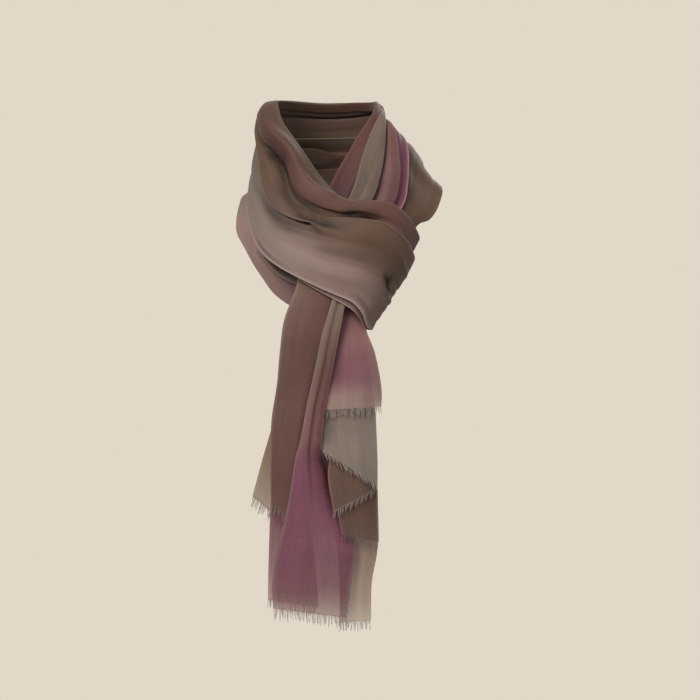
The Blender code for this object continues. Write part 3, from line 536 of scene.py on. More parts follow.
def organza(name, slub=0.07, edge="C9AFA4", sheen=0.35):
    """Plain-woven silk: dye taken unevenly by the warp and the weft, painted highlights on pleat edges and
    selvedges, a soft sheen.
    """
    material = bpy.data.materials.new(name)
    material.use_nodes = True
    nodes, links = material.node_tree.nodes, material.node_tree.links
    shader = nodes["Principled BSDF"]
    shader.inputs["Roughness"].default_value = 0.58
    shader.inputs["Specular IOR Level"].default_value = 0.32
    shader.inputs["Sheen Weight"].default_value = sheen
    shader.inputs["Sheen Roughness"].default_value = 0.42
    shader.inputs["Sheen Tint"].default_value = (0.86, 0.74, 0.68, 1.0)

    def attribute(label, output):
        node = nodes.new("ShaderNodeAttribute")
        node.attribute_name = label
        return node.outputs[output]

    def number(operation, first, second):
        node = nodes.new("ShaderNodeMath")
        node.operation = operation
        for socket, value in zip(node.inputs, (first, second)):
            if isinstance(value, float):
                socket.default_value = value
            else:
                links.new(value, socket)
        return node.outputs[0]

    threads = nodes.new("ShaderNodeUVMap")
    threads.uv_map = "threads"

    def streaks(across, along, detail):
        """Uneven threads: across and along are how many run by in a millimetre each way."""
        stretch = nodes.new("ShaderNodeMapping")
        stretch.inputs["Scale"].default_value = (across, along, 1.0)
        links.new(threads.outputs["UV"], stretch.inputs["Vector"])
        noise = nodes.new("ShaderNodeTexNoise")
        noise.noise_dimensions = "2D"
        noise.inputs["Scale"].default_value = 1.0
        noise.inputs["Detail"].default_value = detail
        links.new(stretch.outputs["Vector"], noise.inputs["Vector"])
        return noise.outputs["Fac"]

    warp = streaks(1.15, 0.05, 2.0)
    weft = streaks(0.05, 1.15, 2.0)
    cloud = streaks(0.03, 0.03, 1.0)
    woven = number("ADD", warp, weft)
    uneven = number("ADD", woven, number("MULTIPLY", cloud, 0.8))
    taken = taken_unevenly(material, attribute("dye_and_shade", "Color"), uneven, (1.0, 1.8), slub)
    # A painted highlight in the pale edge colour, as strong as the stored lit edge.
    rim = nodes.new("ShaderNodeMix")
    rim.data_type = "RGBA"
    rim.inputs["B"].default_value = (*dyed(edge), 1.0)
    links.new(number("MULTIPLY", attribute("lit_edge", "Fac"), 0.75), rim.inputs["Factor"])
    links.new(taken, rim.inputs["A"])
    links.new(rim.outputs["Result"], shader.inputs["Base Color"])
    links.new(attribute("cover", "Fac"), shader.inputs["Alpha"])
    relief = nodes.new("ShaderNodeBump")
    relief.inputs["Strength"].default_value = 0.35
    relief.inputs["Distance"].default_value = 0.0003
    links.new(woven, relief.inputs["Height"])
    links.new(relief.outputs["Normal"], shader.inputs["Normal"])
    return material


# Each panel's dye between two pleats: row, dye by its first pleat, and by its second one if it differs.
# The colours also hold painted shade: darker under the roll and in the deep folds of the front band.
FIRST_HALF_DYES_AND_SHADE = (
    ((2, "502A28"), (5, "643A33", "683E36"), (10, "6A483C", "6A463C"), (15, "644C3A", "624436"),
     (17.5, "5E4234", "603E32"), (20, "58432F", "66423A"), (24, "5A4632", "69473D"),
     (27, "6E4C42", "6E4A40"), (29, "6C4C40", "684838"), (32, "6A4A40")),
    ((2, "502A28"), (5, "643A33", "683E36"), (12, "6A4D40", "685040"), (18, "604A3A", "68503C"),
     (22, "54403A", "604938"), (26, "6A463E", "6C4838"), (29, "6A4A3C"), (32, "6A4A40")),
    ((2, "4E2A2E"), (5, "683E3A", "663F3C"), (12, "685040"), (18, "68503C", "664E3A"),
     (23, "5C4636", "604838"), (26, "6C5442", "6E5442"), (29, "6C503C", "6A4E3B"), (32, "735648")),
    ((2, "716052", "786658"), (8, "786758", "7C6A5C"), (13, "705C4B", "6E5A49"),
     (18, "664E3A", "6A523E"), (23, "604838", "6A5242"), (26, "6A513E", "694D3A"),
     (29, "6A4E3B", "6C503C"), (32, "735648", "755A4C")),
    ((2, "75504C", "7C5652"), (8, "755148", "7C5950"), (13, "755E50", "77634F"),
     (17, "786858", "746252"), (21, "75665A", "8C796C"), (24, "6E574A", "8A7266"),
     (26.5, "694D3A", "7A6052"), (29, "6C503C", "7C6252"), (32, "755A4C", "7C6054")),
    ((2, "8A4C62"), (6, "7A3E56", "844A64"), (9, "6E4A50", "7C6858"), (13, "7C6858", "806E5F"),
     (17, "82725F"), (21, "928073", "98827A"), (25, "927A6E", "957C72"), (29, "80665A", "8C7266"),
     (32, "7C6054", "85655C")),
)
FIRST_HALF_LAID = {
    "folds": FIRST_HALF_FOLDS, "creases": FIRST_HALF_CREASES, "hollows": FIRST_HALF_HOLLOWS,
    "dimples": FIRST_HALF_DIMPLES, "shades": FIRST_HALF_SHADES, "dyes_and_shade": FIRST_HALF_DYES_AND_SHADE,
    # how strong the painted highlight is along each selvedge
    "rim": {"edge_a": 0.1, "edge_b": 0.9},
}
SILK = organza("organza_silk")


def lay_stretch(name, stretch, rows, laid):
    """One stretch of the close cloth, in the place of its solid."""
    first, last, steps, flats, hem, flat = stretch
    cloth, _ = woven_cloth(name + "_cloth", rows, laid, hem, (first, last), steps, flats, CLOSE_COVER)
    cloth.data.materials.append(SILK)
    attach(cloth, "root")
    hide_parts(name)


for name, stretch in FIRST_HALF_STRETCHES.items():
    lay_stretch(name, stretch, FIRST_HALF, FIRST_HALF_LAID)

# ---------------- the turn of the loop
# At the lower right the scarf is folded in half, and the cloth of the front band turns back there
# and goes behind the hanging ends. It is the same silk, and the same pleats run on through it.
BIGHT = FIRST_HALF + TURN_OF_LOOP[1:] + (
    (60, -39, -66, 14, -76, -149, 2), (34, -47, -59, -8, -73, -141, 2),
)
lay_stretch("bight", (29, 32, 56, 8, (10, 0), (0.100, 0.075)), BIGHT, FIRST_HALF_LAID)

# ---------------- the lip under the front band
# The scarf is folded in half, so a second layer of the same silk shows as a narrow lip below the
# front band's lower edge, from over the ends to the turn of the loop.
LIP = (
    (-38, -94, -90, -34, -95, -99, 0), (-24, -98, -96, -24, -98.5, -106.5, 0),
    (-8, -100, -102, -9, -101.5, -115, 0), (6, -102, -108, 5, -104, -122.5, 0.5),
    (17, -102.5, -113, 17, -104.5, -129, 0.5), (27, -101, -121, 24.5, -103, -134.5, 0.5),
    (34, -96, -132, 31, -99, -142.5, 0.5), (39, -89, -144, 36, -94, -153, 0),
)
LIP_LAID = {
    "folds": (), "creases": ((2, 9, 0.72, 0.66, 1.5, 0.7), (-2, 8, 0.5, 0.5, 1.6, 0.5)),
    "dyes_and_shade": ((
        (0, "7A5650", "86625A"), (3, "7A5850", "906E66"), (5, "755248", "9A7A70"), (7, "6E4E44", "8C6A60"),
    ),),
    "rim": {"edge_b": 1.0},
}
cloth, _ = woven_cloth("lip_cloth", LIP, LIP_LAID, (0, 0), (0, 7), 70, 12, CLOSE_COVER, facing=-1.0)
cloth.data.materials.append(SILK)
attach(cloth, "root")

# ---------------- the second half of the cloth
# The other half leaves the loop, rises at the right as one broad fold, goes round the back under
# the first half and comes down the left side, where it lies behind the front band and the ends.
SHOULDER_FOLD = (
    (34, -69, -78, 58, -65, -96, 1), (44, -61, -58, 71, -54, -80, 2), (54, -50, -36, 84, -41, -53, 4),
    (58, -38, -14, 96, -31, -46, 3), (59, -26, 4, 103, -19, -37, 1), (57, -14, 17, 107, -7, -27, 0),
    (54, 0, 28, 109, 5, -17, 0), (50, 16, 33, 104, 23, -14, 0),
)
NAPE_LOWER = (
    (42, 34, 34, 76, 60, -18, -1), (23, 49, 32, 38, 83, -24, -2), (0, 54, 32, 0, 90, -25, -2),
    (-23, 49, 32, -37, 83, -24, -2), (-42, 33, 31, -67, 60, -22, -3),
)
BACK_STRAND = (
    (-50, 15, 27, -81, 31, -23, -5), (-53, 1, 20, -85, 7, -32, -6), (-52, -14, 9, -87.5, -15, -46, -6),
    (-48, -27, -6, -86.5, -36, -58, -5), (-42, -37, -20, -79, -50, -72, -4),
    (-34, -44, -33, -71, -58, -87, -2), (-25, -48, -42, -62, -62, -101, 0),
    (-10, -51, -48, -50, -66, -117, 1), (10, -51, -53, -30, -70, -131, 2),
    (34, -47, -59, -8, -73, -141, 2), (60, -39, -66, 14, -76, -149, 2),
)
SECOND_HALF = SHOULDER_FOLD + NAPE_LOWER + BACK_STRAND + TURN_OF_LOOP[1:]
SECOND_HALF_FOLDS = (
    (-3, 9.5, ((0, 0.14), (4, 0.15), (7, 0.13), (9.5, 0.12)), 4, 3.6, 0.3),
    (8, 18, ((8, 0.3), (12, 0.29), (14, 0.34), (18, 0.4)), 8, 5, 0.2),
    (5.5, 15, ((5.5, 0.64), (8, 0.66), (12, 0.62), (15, 0.64)), 7, 4.8, 0.15),
    (16.5, 24.5, ((16.5, 0.91), (18, 0.88), (20, 0.8), (21.5, 0.74), (24.5, 0.7)), 6, 4.6, 0.7),
)
SECOND_HALF_CREASES = (
    (1, 8.6, 0.26, 0.32, 14, -5), (7, 13, 0.84, 0.86, 5, 1.6), (13, 19, 0.55, 0.62, 6, 1.2),
    (0, 6, 0.14, 0.12, 2.4, 0.6), (2, 8, 0.44, 0.46, 3, 0.7), (3.5, 9.5, 0.86, 0.84, 2.6, 0.7),
    (1.5, 6.5, 0.74, 0.78, 2.2, -0.5), (8.5, 13.5, 0.16, 0.14, 2.6, 0.7), (9, 14.5, 0.48, 0.5, 3, -0.8),
    (10, 15, 0.94, 0.92, 2.2, 0.6), (13.5, 19, 0.3, 0.26, 2.8, 0.7), (15, 21, 0.82, 0.74, 2.4, 0.6),
    (17.5, 24, 0.6, 0.56, 2.6, 0.7), (4.4, 11, 0.36, 0.4, 24, -10),
)
# Dyes as for the first half; the dark colours beside the edge strip of the shoulder fold are painted
# shade.
SECOND_HALF_DYES_AND_SHADE = (
    ((1, "8A7866", "847160"), (5, "8A7765", "86735F"), (9, "7C6856", "786350"),
     (13, "7E6856", "7A6250"), (17, "7A5E50", "7C5E52"), (24, "6A4A40")),
    ((1, "553828", "5E4230"), (5, "5E402E", "684A36"), (9, "705844", "705642"),
     (13, "7E6856", "7A6250"), (17, "7A5E50", "7C5E52"), (24, "6A4A40")),
    ((1, "5E4230", "6A4C38"), (5, "6C4F39", "785A42"), (8, "6E543E", "7A604A"),
     (13, "7A6250", "82705F"), (17, "7C6052", "8A6C62"), (24, "6E4E44", "735648")),
    ((1, "6A4C38", "70543E"), (5, "785A42", "7A5E48"), (8, "785E48", "7A624C"),
     (13, "7C6855", "8A7868"), (16, "957A6F", "A08478"), (20, "947468", "9A7A6E"),
     (24, "7C5A52", "85655C")),
    ((1, "6C503C", "70543E"), (5, "745840", "785C46"), (8, "765C46", "7A624C"),
     (13, "8A7868", "8E7C6C"), (15.5, "9C8074"), (19, "987A6E", "98796E"), (20, "90706A", "957468"),
     (21, "855E68", "8C6A66"), (22, "7A4D5C", "845A64"), (24, "7A5258", "85655C")),
)
# Strokes of painted shade on the second half, as on the first.
SECOND_HALF_SHADES = (
    (5, 0.34, ((0.6, 0.2), (2, 0.2), (4, 0.19), (6.2, 0.18), (8, 0.17))),
    (12, 0.18, ((0.6, 0.3), (3, 0.28), (5, 0.28), (6.6, 0.3))),
    (10, 0.12, ((1, 0.8), (3, 0.84), (5, 0.88), (7, 0.9))),
    (2.6, 0.72, ((17, 0.77), (18, 0.8), (18.8, 0.81), (19.7, 0.765), (20.8, 0.7))),
    (7, 0.3, ((18.5, 0.66), (19.6, 0.68), (20.6, 0.66), (22.5, 0.62))),
)
SECOND_HALF_LAID = {
    "folds": SECOND_HALF_FOLDS, "creases": SECOND_HALF_CREASES, "shades": SECOND_HALF_SHADES,
    "dyes_and_shade": SECOND_HALF_DYES_AND_SHADE, "rim": {"edge_a": 0.6, "edge_b": 0.1},
}
SECOND_HALF_STRETCHES = {
    "shoulder_fold": (0, 8, 70, 9, (0, 8), (0.084, 0.150)),
    "nape_lower": (8, 13, 44, 8, (0, 8), (0.110, 0.170)),
    "back_strand": (13, 24, 90, 8, (0, 8), (0.100, 0.230)),
}
for name, stretch in SECOND_HALF_STRETCHES.items():
    lay_stretch(name, stretch, SECOND_HALF, SECOND_HALF_LAID)

# ---------------- the hanging ends
# Both ends of the scarf hang out of the loop in loose pleats, so that each dyed band shows as a
# tail of its own length. They are single or double cloth, and the outermost ones show what is behind.
BOW = 9.0  # how far back the ends curve at BOW_REACH to either side of BOW_MIDDLE
BOW_REACH = 50.0
BOW_MIDDLE = -2.0
SWAY = 2.5
SWAY_LENGTH = 38.0
SWAY_SLANT = 0.35
FREE_FROM = -160.0  # height below which the ends hang free, more so over FREE_RUN
FREE_RUN = 60.0


def hang(points):
    """Curves a tail back at its sides, and lets it sway a little on its way down."""
    across, height = points[..., 0], points[..., 2]
    free = np.clip((FREE_FROM - height) / FREE_RUN, 0.0, 1.0)
    points[..., 1] += BOW * ((across - BOW_MIDDLE) / BOW_REACH) ** 2 * free
    points[..., 1] += SWAY * np.sin((height + SWAY_SLANT * across) / SWAY_LENGTH) * free
    return points


TAIL_CREASES = ((0.5, 9, 0.3, 0.36, 4, 1.2), (2, 12, 0.66, 0.72, 5, -1.2))
TAILS = {
    # rows as above, from the loop down; creases; dye, with painted shade in places, down the tail at
    #     its left and right edge; how much of what is behind it the cloth hides, by row; flat width and
    #     length
    "tail_left": ((
        (-26, -86, -89, 12, -87, -93, 1), (-31, -96, -114, 11, -97, -119, 2),
        (-41.5, -100, -142, 6, -101, -144, 3), (-45.5, -102, -171, 0, -102, -171, 3),
        (-48.5, -103, -204, -7, -103, -204, 2), (-53.5, -103, -237, -14, -103, -237, 2),
        (-54.5, -103, -271, -21, -103, -271, 2), (-54.5, -103, -298, -26, -103, -302, 1),
        (-54, -103, -316, -29, -103, -337, 1),
    ), TAIL_CREASES + ((1, 9, 0.12, 0.1, 2, 0.5), (3, 11, 0.5, 0.52, 2.2, 0.5),
        (0, 7, 0.84, 0.86, 2, -0.4)),
        (((1, "7F6254", "71473F"), (4, "7A5B4F", "6F4640"), (7, "765048"), (8, "826456", "80604F")),),
        ((0, 0.9), (7, 0.86), (8, 0.66)), (0.036, 0.246)),
    "tail_plum": ((
        (9, -92, -89, 23, -93, -93, 0.5), (5, -101.5, -119, 17, -102, -124, 0.5),
        (-5.5, -105.5, -156, 10.5, -105.5, -157, 1), (-12.5, -107, -190, 4.5, -106, -190, 1),
        (-20, -108, -223, -2.5, -106, -223, 1), (-26, -108.5, -256, -6, -104, -256, 1),
        (-30, -109, -270, -5, -99.5, -269, 1), (-33, -109, -286, -0.5, -92, -284, 1),
        (-37, -109, -312, 9, -88.5, -312, 1), (-43.5, -109, -342, 22, -88, -343, 2),
        (-50, -109, -368, 27, -92, -362, 3), (-53, -108, -394, 22, -95, -392, 4),
        (-52, -107, -416, 18, -97, -425, 4),
    ), ((-2, 9, 0.56, 0.5, 2.2, 2.4), (6, 14, 0.34, 0.3, 7, -1.5), (5, 13, 0.12, 0.16, 2.4, 0.5),
        (7, 14, 0.72, 0.66, 3, 0.8), (6, 12, 0.9, 0.88, 2.4, -0.6), (8, 15, 0.5, 0.48, 2.4, 0.5)),
        # the plum end's dark right side is painted shade where it goes behind the brown end
        (((1, "8E7A69", "897464"), (3, "8A7162", "70443F"), (5, "966C69", "7E484B"),
         (6.3, "9C6874", "722A3C"), (7.6, "965F70", "742C40"), (8.8, "945C6A", "8C5062"),
         (10, "905A68", "8E5664"), (11.3, "926066", "925E66"), (12, "AA867E", "A6807A")),),
        ((0, 0.93), (9, 0.86), (11, 0.76), (12, 0.5)), (0.052, 0.344)),
    "tail_pink": ((
        (8, -82, -89, 34, -81, -91, 0.5), (7, -89, -114, 33, -87, -118, 0.5),
        (8, -93, -131, 34, -89, -138, 1), (4, -97, -152, 37, -92.5, -154, 1.5),
        (0, -100, -171, 44, -98, -172, 2.5), (-4, -101, -195, 49, -99, -195, 2.5),
        (-8, -101.5, -214, 51, -99, -212, 2.5), (-9.5, -101.5, -228, 50.5, -99, -224.5, 2.5),
    ), TAIL_CREASES + ((1, 8, 0.46, 0.5, 2.4, 0.5), (3, 9, 0.86, 0.84, 2.2, 0.5)),
        (((1, "92606A", "9A6E6A"), (3.5, "915A62", "9A706A"), (5.2, "966066", "A07476"),
         (6.2, "B4928A", "B29088"), (7, "BCA090", "B89C8E")),),
        ((0, 0.92), (6, 0.88), (7, 0.66)), (0.048, 0.140)),
    "tail_grey": ((
        (4, -79.6, -84.9, 34, -77.3, -87.9, 0.5), (2, -86, -120, 34, -83.5, -124, 0.5),
        (-4, -95, -170, 38, -94, -170, 1), (-10, -98, -223, 44.5, -96, -223, 2),
        (-10.5, -99, -247, 46, -97, -249, 2), (-8.5, -99.5, -258, 47, -98, -275, 2.5),
        (-5, -100, -266, 47, -98.5, -298, 2.5),
    ), TAIL_CREASES + ((2, 8, 0.2, 0.16, 2.4, 0.5), (3, 8, 0.5, 0.54, 2.4, 0.4)),
        (((0, "8E7D70"), (5, "948275", "9A897B"), (6, "9C8B7C", "A09182")),),
        ((0, 0.92), (5, 0.9), (6, 0.72)), (0.050, 0.200)),
    "tail_brown": ((
        (2, -76, -89, 34, -75, -91, 0.5), (2, -83.5, -120, 34, -81.5, -124, 0.5),
        (2, -91, -170, 36, -90.5, -170, 0.5), (2, -94, -222, 42, -92.5, -222, 1),
        (2, -96, -266, 44.5, -94.5, -266, 1), (0, -98, -292, 46, -95.5, -286, 1),
        (5, -98, -324, 46, -96, -302, 1),
    ), TAIL_CREASES,
        (((0, "75594B"), (5, "745748", "765B4C"), (6, "7C6253", "7E6556")),),
        ((0, 0.9), (5, 0.88), (6, 0.7)), (0.041, 0.228)),
    "tail_brown_back": ((
        (0, -73, -89, 34, -72.5, -91, 0.5), (2, -80, -120, 34, -79, -124, 0.5),
        (4, -87.5, -170, 36, -87, -170, 0.5), (5, -90.5, -222, 42, -89, -222, 1),
        (6, -93, -270, 46, -91, -270, 0.5), (9, -94.5, -320, 47.5, -92.5, -320, 0.5),
        (13, -96, -346, 48.5, -92.5, -353, 0.5),
    ), TAIL_CREASES,
        (((0, "6E5040"), (4.5, "6F4F40", "694B38"), (6, "85685E", "7E6450")),),
        ((0, 0.9), (5, 0.84), (6, 0.5)), (0.040, 0.262)),
    "tail_sheer": ((
        (-2, -70, -89, 34, -70, -91, 0.5), (2, -76.5, -120, 34, -76.5, -124, 0.5),
        (4, -81, -148, 33, -81.5, -148, 0.5), (4, -83, -170, 36, -83.5, -170, 1),
        (0, -83.5, -222, 41, -83.5, -222, 1), (-7, -83.5, -270, 44, -83, -270, 1),
        (-2, -83.5, -320, 46, -83, -320, 1), (8, -84, -356, 47, -84, -359, 1.5),
        (11, -85, -394, 41.5, -86, -393, 2), (11, -86, -429, 41, -87, -428, 2),
    ), TAIL_CREASES + ((4, 12, 0.5, 0.46, 3, 0.8), (5, 12, 0.88, 0.86, 2.4, 0.5)),
        (((0, "8C7466"), (6, "9A7A68", "9E7E6E"), (7.2, "A4836F", "AA8A73"), (9, "B8997F")),),
        ((0, 0.88), (6, 0.84), (7.4, 0.7), (8.4, 0.58), (9, 0.4)), (0.041, 0.340)),
    "tail_under": ((
        (-27, -84.3, -89, 4, -85.3, -93, 0.5), (-30, -91, -116, 2, -92, -120, 0.5),
        (-40, -97, -144, -6, -97, -146, 0.5), (-45, -99, -190, -14, -99, -190, 0.5),
        (-50, -100, -237, -18, -100, -237, 0.5), (-53, -100, -285, -23, -99, -285, 1),
        (-55, -100, -330, -18, -96, -330, 1), (-56.5, -101, -375, -12, -94, -377, 1),
        (-57, -101, -408, -9, -94, -414, 1),
    ), TAIL_CREASES + ((4, 11, 0.14, 0.1, 2.2, 0.5),),
        (((0, "7A5350"), (5, "8A5560"), (7, "9A636A", "9A686C"), (8, "AC807C", "AC8480")),),
        ((0, 0.88), (6, 0.78), (8, 0.5)), (0.040, 0.322)),
    "flap_left": ((
        (-22, -82.7, -89, 2, -83.7, -93, 0.5), (-27, -87, -116, 0, -88, -120, 0.5),
        (-38, -93, -146, -8, -93, -146, 0.5), (-44, -95, -190, -16, -95, -190, 0.5),
        (-50, -95, -230, -22, -95, -232, 0.5), (-55, -95, -250, -26, -95, -262, 0.5),
        (-62, -95, -274, -30, -95, -292, 0.5), (-71.5, -95, -309, -38, -95, -338, 0.5),
    ), TAIL_CREASES + ((4, 10, 0.16, 0.2, 2.2, 0.5),),
        (((0, "846A56", "7A5E4C"), (5, "8F6F53", "886750"), (7, "9C7C5E", "96765A")),),
        ((0, 0.88), (4.5, 0.78), (6, 0.72), (7, 0.52)), (0.031, 0.235)),
}
# Strokes of painted shade on the ends: on the plum end a dark run along the narrow strip's fold and
# deep shade where it opens, and shade along the other ends' folds and edges.
TAIL_SHADES = {
    "tail_plum": (
        (1.7, 0.34, ((1.5, 0.56), (3, 0.54), (4.5, 0.5), (6.5, 0.5), (8.5, 0.48))),
        (4.5, 0.62, ((5, 0.97), (6.5, 0.93), (7.4, 0.92), (8.2, 0.95), (9.4, 0.99))),
    ),
    "tail_left": ((3.2, 0.28, ((0.2, 0.95), (2, 0.96), (4, 0.97), (7.6, 0.97))),),
    "tail_pink": ((4.5, 0.42, ((0.4, 0.12), (2, 0.14), (4, 0.2), (6.2, 0.24))),),
    "tail_grey": ((4, 0.3, ((2.4, 0.16), (4, 0.22), (5.6, 0.06))),),
}
LOOSE_SILK = organza("organza_ends", slub=0.09, edge="B49C8F", sheen=0.3)
tail_ends = {}
tail_cloths = {}
for name, (rows, creases, dyes_and_shade, cover, flat) in TAILS.items():
    last = len(rows) - 1.0
    steps = 96 if name in ("tail_plum", "tail_sheer") else 72
    laid = {
        "folds": (), "creases": creases, "shades": TAIL_SHADES.get(name, ()), "dyes_and_shade": dyes_and_shade,
        "rim": {"edge_a": 0.5, "edge_b": 0.5},
    }
    cloth, end = woven_cloth(
        name + "_cloth", rows, laid, (0, 0), (0, last), steps, 18, cover, facing=-1.0, fall=hang,
    )
    cloth.data.materials.append(LOOSE_SILK)
    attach(cloth, "root")
    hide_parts(name)
    tail_ends[name] = end
    tail_cloths[name] = (cloth, flat)

# ---------------- the frayed ends
# The short sides of the scarf aren't hemmed: the last weft threads are pulled out, and what is left
# of the warp stands as a soft fringe of uneven, slightly curled threads.
FRINGES = (
    # tail, thread length, lean to the right, colour at the root and at the tip
    ("tail_left", 9, -0.25, "94786A", "C0A898"),
    ("tail_plum", 10.5, 0.05, "AE8C86", "CDB8AC"),
    ("tail_pink", 9, 0.05, "B29A8C", "DCCCBE"),
    ("tail_grey", 9, 0.3, "AE9C8C", "E0D2C4"),
    ("tail_brown", 8.5, -0.2, "9C8674", "D2C0B0"),
    ("tail_brown_back", 8, 0.15, "7E6454", "A8907E"),
    ("tail_sheer", 9, 0.05, "BCA89A", "D0C0B4"),
    ("tail_under", 9, -0.1, "A07C80", "BCA4A0"),
    ("flap_left", 10, -0.3, "907C66", "B09C84"),
)
TUFT_APART = 2.7
THREADS_APART = 0.55
THREAD_INSIDE = 0.6  # how far up inside the cloth a thread starts
THREAD_RINGS = 5
THREAD_CORNERS = (0.5, 2.6, 4.7)  # turns round a thread, in radians


def frayed_end(name, edge, length, lean, root_dye, tip_dye, seed):
    """A comb of thin threads along a tail's last section that cling together in uneven tufts. Each
    one is a tapered strand of three sides."""
    chance = np.random.default_rng(seed)
    reach = np.append(0.0, np.cumsum(np.linalg.norm(np.diff(edge, axis=0), axis=1)))
    places = np.arange(0.4, reach[-1] - 0.4, THREADS_APART)
    places = np.clip(places + chance.uniform(-0.2, 0.2, len(places)), 0.2, reach[-1] - 0.2)
    tufts = np.arange(0.8, reach[-1], TUFT_APART)
    tufts = tufts + chance.uniform(-0.9, 0.9, len(tufts))
    leans = chance.normal(0.0, 0.9, len(tufts))
    reaches = chance.uniform(0.72, 1.12, len(tufts))
    down = units(np.array((lean, 0.0, -1.0)))
    vertices, faces, colours = [], [], []
    for place in places:
        tuft = int(np.argmin(np.abs(tufts - place)))
        root = np.array([np.interp(place, reach, edge[:, axis]) for axis in range(3)])
        long = length * reaches[tuft] * chance.uniform(0.8, 1.08)
        thick = chance.uniform(0.15, 0.27)
        side = 0.72 * (tufts[tuft] - place) + leans[tuft] + chance.normal(0.0, 0.28)
        curl = chance.normal(0.0, 0.10)
        forward = chance.uniform(0.1, 0.9)
        pale = chance.uniform(0.55, 1.0)
        base = len(vertices)
        for step in range(THREAD_RINGS):
            part = step / (THREAD_RINGS - 1.0)
            spot = root - down * THREAD_INSIDE + down * (long + THREAD_INSIDE) * part
            swing = side * part ** 1.4 + 2.0 * curl * math.sin(3.1 * part)
            spot = spot + np.array((swing, -forward * part, 0.0))
            radius = thick * (1.0 - 0.6 * part)
            mix = np.array(dyed(root_dye)) * (1.0 - part * pale) + np.array(dyed(tip_dye)) * part * pale
            for turn in THREAD_CORNERS:
                side_point = spot + radius * np.array((math.cos(turn), math.sin(turn), 0.0))
                vertices.append(tuple(side_point * MILLIMETRE))
                colours.append((*mix, 1.0))
            if step:
                for corner in range(3):
                    a = base + (step - 1) * 3 + corner
                    b = base + (step - 1) * 3 + (corner + 1) % 3
                    faces.append((a, b, b + 3, a + 3))
        tip = len(vertices) - 3
        faces += [(base + 2, base + 1, base), (tip, tip + 1, tip + 2)]
    mesh = bpy.data.meshes.new(name)
    mesh.from_pydata(vertices, [], faces)
    mesh.polygons.foreach_set("use_smooth", [True] * len(mesh.polygons))
    dye_and_shade = mesh.color_attributes.new("dye_and_shade", "FLOAT_COLOR", "POINT")
    dye_and_shade.data.foreach_set("color", np.array(colours).ravel())
    threads = bpy.data.objects.new(name, mesh)
    STUDIO.link(threads)
    return threads


RAW_SILK = bpy.data.materials.new("raw_silk_threads")
RAW_SILK.use_nodes = True
nodes, links = RAW_SILK.node_tree.nodes, RAW_SILK.node_tree.links
shader = nodes["Principled BSDF"]
shader.inputs["Roughness"].default_value = 0.62
shader.inputs["Sheen Weight"].default_value = 0.2
thread_dye = nodes.new("ShaderNodeAttribute")
thread_dye.attribute_name = "dye_and_shade"
uneven = nodes.new("ShaderNodeTexNoise")
uneven.inputs["Scale"].default_value = 900.0
uneven.inputs["Detail"].default_value = 1.0
coordinates = nodes.new("ShaderNodeTexCoord")
links.new(coordinates.outputs["Object"], uneven.inputs["Vector"])
taken = taken_unevenly(RAW_SILK, thread_dye.outputs["Color"], uneven.outputs["Fac"], (0.0, 1.0), 0.22)
links.new(taken, shader.inputs["Base Color"])
for seed, (tail, length, lean, root_dye, tip_dye) in enumerate(FRINGES):
    node = "fringe_" + tail.replace("tail_", "")
    threads = frayed_end(node + "_threads", tail_ends[tail], length, lean, root_dye, tip_dye, seed)
    threads.data.materials.append(RAW_SILK)
    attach(threads, "root")
    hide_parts(node)
    cloth, flat = tail_cloths[tail]

# ---------------- floor, light and camera
# The scarf hangs over a wide pale floor in a pale room, lit by a large soft lamp at the upper left,
# weaker ones on the right and behind it. The pale of the room is only seen, and lights nothing.
FLOOR_LEVEL = -0.62
FLOOR_REACH = 3.0
FLOOR_SIDES = 96
LAMPS_AIM = (0.0, 0.0, -0.15)
PALE = (*dyed("E2D8C8"), 1.0)

floor_mesh = bpy.data.meshes.new("pale_floor")
turns = [2.0 * math.pi * step / FLOOR_SIDES for step in range(FLOOR_SIDES)]
rim = [(FLOOR_REACH * math.cos(turn), FLOOR_REACH * math.sin(turn), FLOOR_LEVEL) for turn in turns]
floor_mesh.from_pydata(rim, [], [tuple(range(FLOOR_SIDES))])
floor_paint = bpy.data.materials.new("pale_floor")
floor_paint.use_nodes = True
for label, value in (
    ("Base Color", (0.16, 0.15, 0.14, 1.0)),
    ("Roughness", 0.9),
    ("Specular IOR Level", 0.0),
    ("Emission Color", PALE),
    ("Emission Strength", 0.92),
):
    floor_paint.node_tree.nodes["Principled BSDF"].inputs[label].default_value = value
floor_mesh.materials.append(floor_paint)
floor = bpy.data.objects.new("pale_floor", floor_mesh)
STUDIO.link(floor)
floor.visible_diffuse = False
floor.visible_glossy = False

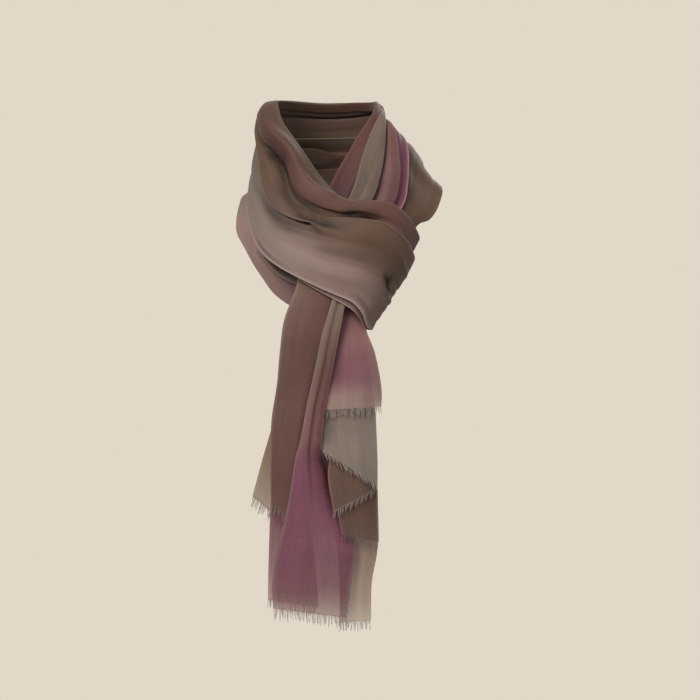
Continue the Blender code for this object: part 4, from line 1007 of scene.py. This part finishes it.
for label, spot, size, power, warmth in (
    ("window_light", (-1.1, -1.9, 1.3), 1.3, 42.0, (1.0, 0.975, 0.95)),
    ("fill_light", (1.7, -1.7, 0.3), 1.6, 9.0, (1.0, 0.98, 0.97)),
    ("top_light", (0.0, -0.4, 2.6), 2.4, 18.0, (1.0, 0.98, 0.96)),
    ("back_light", (0.9, 2.1, 0.9), 1.8, 20.0, (1.0, 0.98, 0.96)),
):
    lamp = bpy.data.lights.new(label, "AREA")
    lamp.size = size
    lamp.energy = power
    lamp.color = warmth
    holder = bpy.data.objects.new(label, lamp)
    holder.location = spot
    aim = np.array(LAMPS_AIM) - np.array(spot)
    holder.rotation_euler = (
        math.atan2(math.hypot(aim[0], aim[1]), -aim[2]), 0.0, math.atan2(-aim[0], aim[1]),
    )
    STUDIO.link(holder)

room = bpy.data.worlds.new("room")
room.use_nodes = True
nodes, links = room.node_tree.nodes, room.node_tree.links
ambient = nodes["Background"]
ambient.inputs["Color"].default_value = (0.95, 0.96, 1.0, 1.0)
ambient.inputs["Strength"].default_value = 0.25
seen = nodes.new("ShaderNodeBackground")
seen.inputs["Color"].default_value = PALE
either = nodes.new("ShaderNodeMixShader")
links.new(nodes.new("ShaderNodeLightPath").outputs["Is Camera Ray"], either.inputs["Fac"])
links.new(ambient.outputs["Background"], either.inputs[1])
links.new(seen.outputs["Background"], either.inputs[2])
links.new(either.outputs["Shader"], nodes["World Output"].inputs["Surface"])
bpy.context.scene.world = room
bpy.context.scene.view_settings.view_transform = "Standard"

FRAME_WIDTH = 0.665
VIEW_CENTRE = (0.0209, -0.08, -0.171)
DISTANCE = 12.0
view = bpy.data.cameras.new("camera")
view.sensor_width = 36.0
view.lens = 36.0 * DISTANCE / FRAME_WIDTH
camera = bpy.data.objects.new("camera", view)
camera.location = (VIEW_CENTRE[0], VIEW_CENTRE[1] - DISTANCE, VIEW_CENTRE[2])
camera.rotation_euler = (math.pi / 2.0, 0.0, 0.0)
STUDIO.link(camera)
bpy.context.scene.camera = camera

bpy.context.view_layer.update()
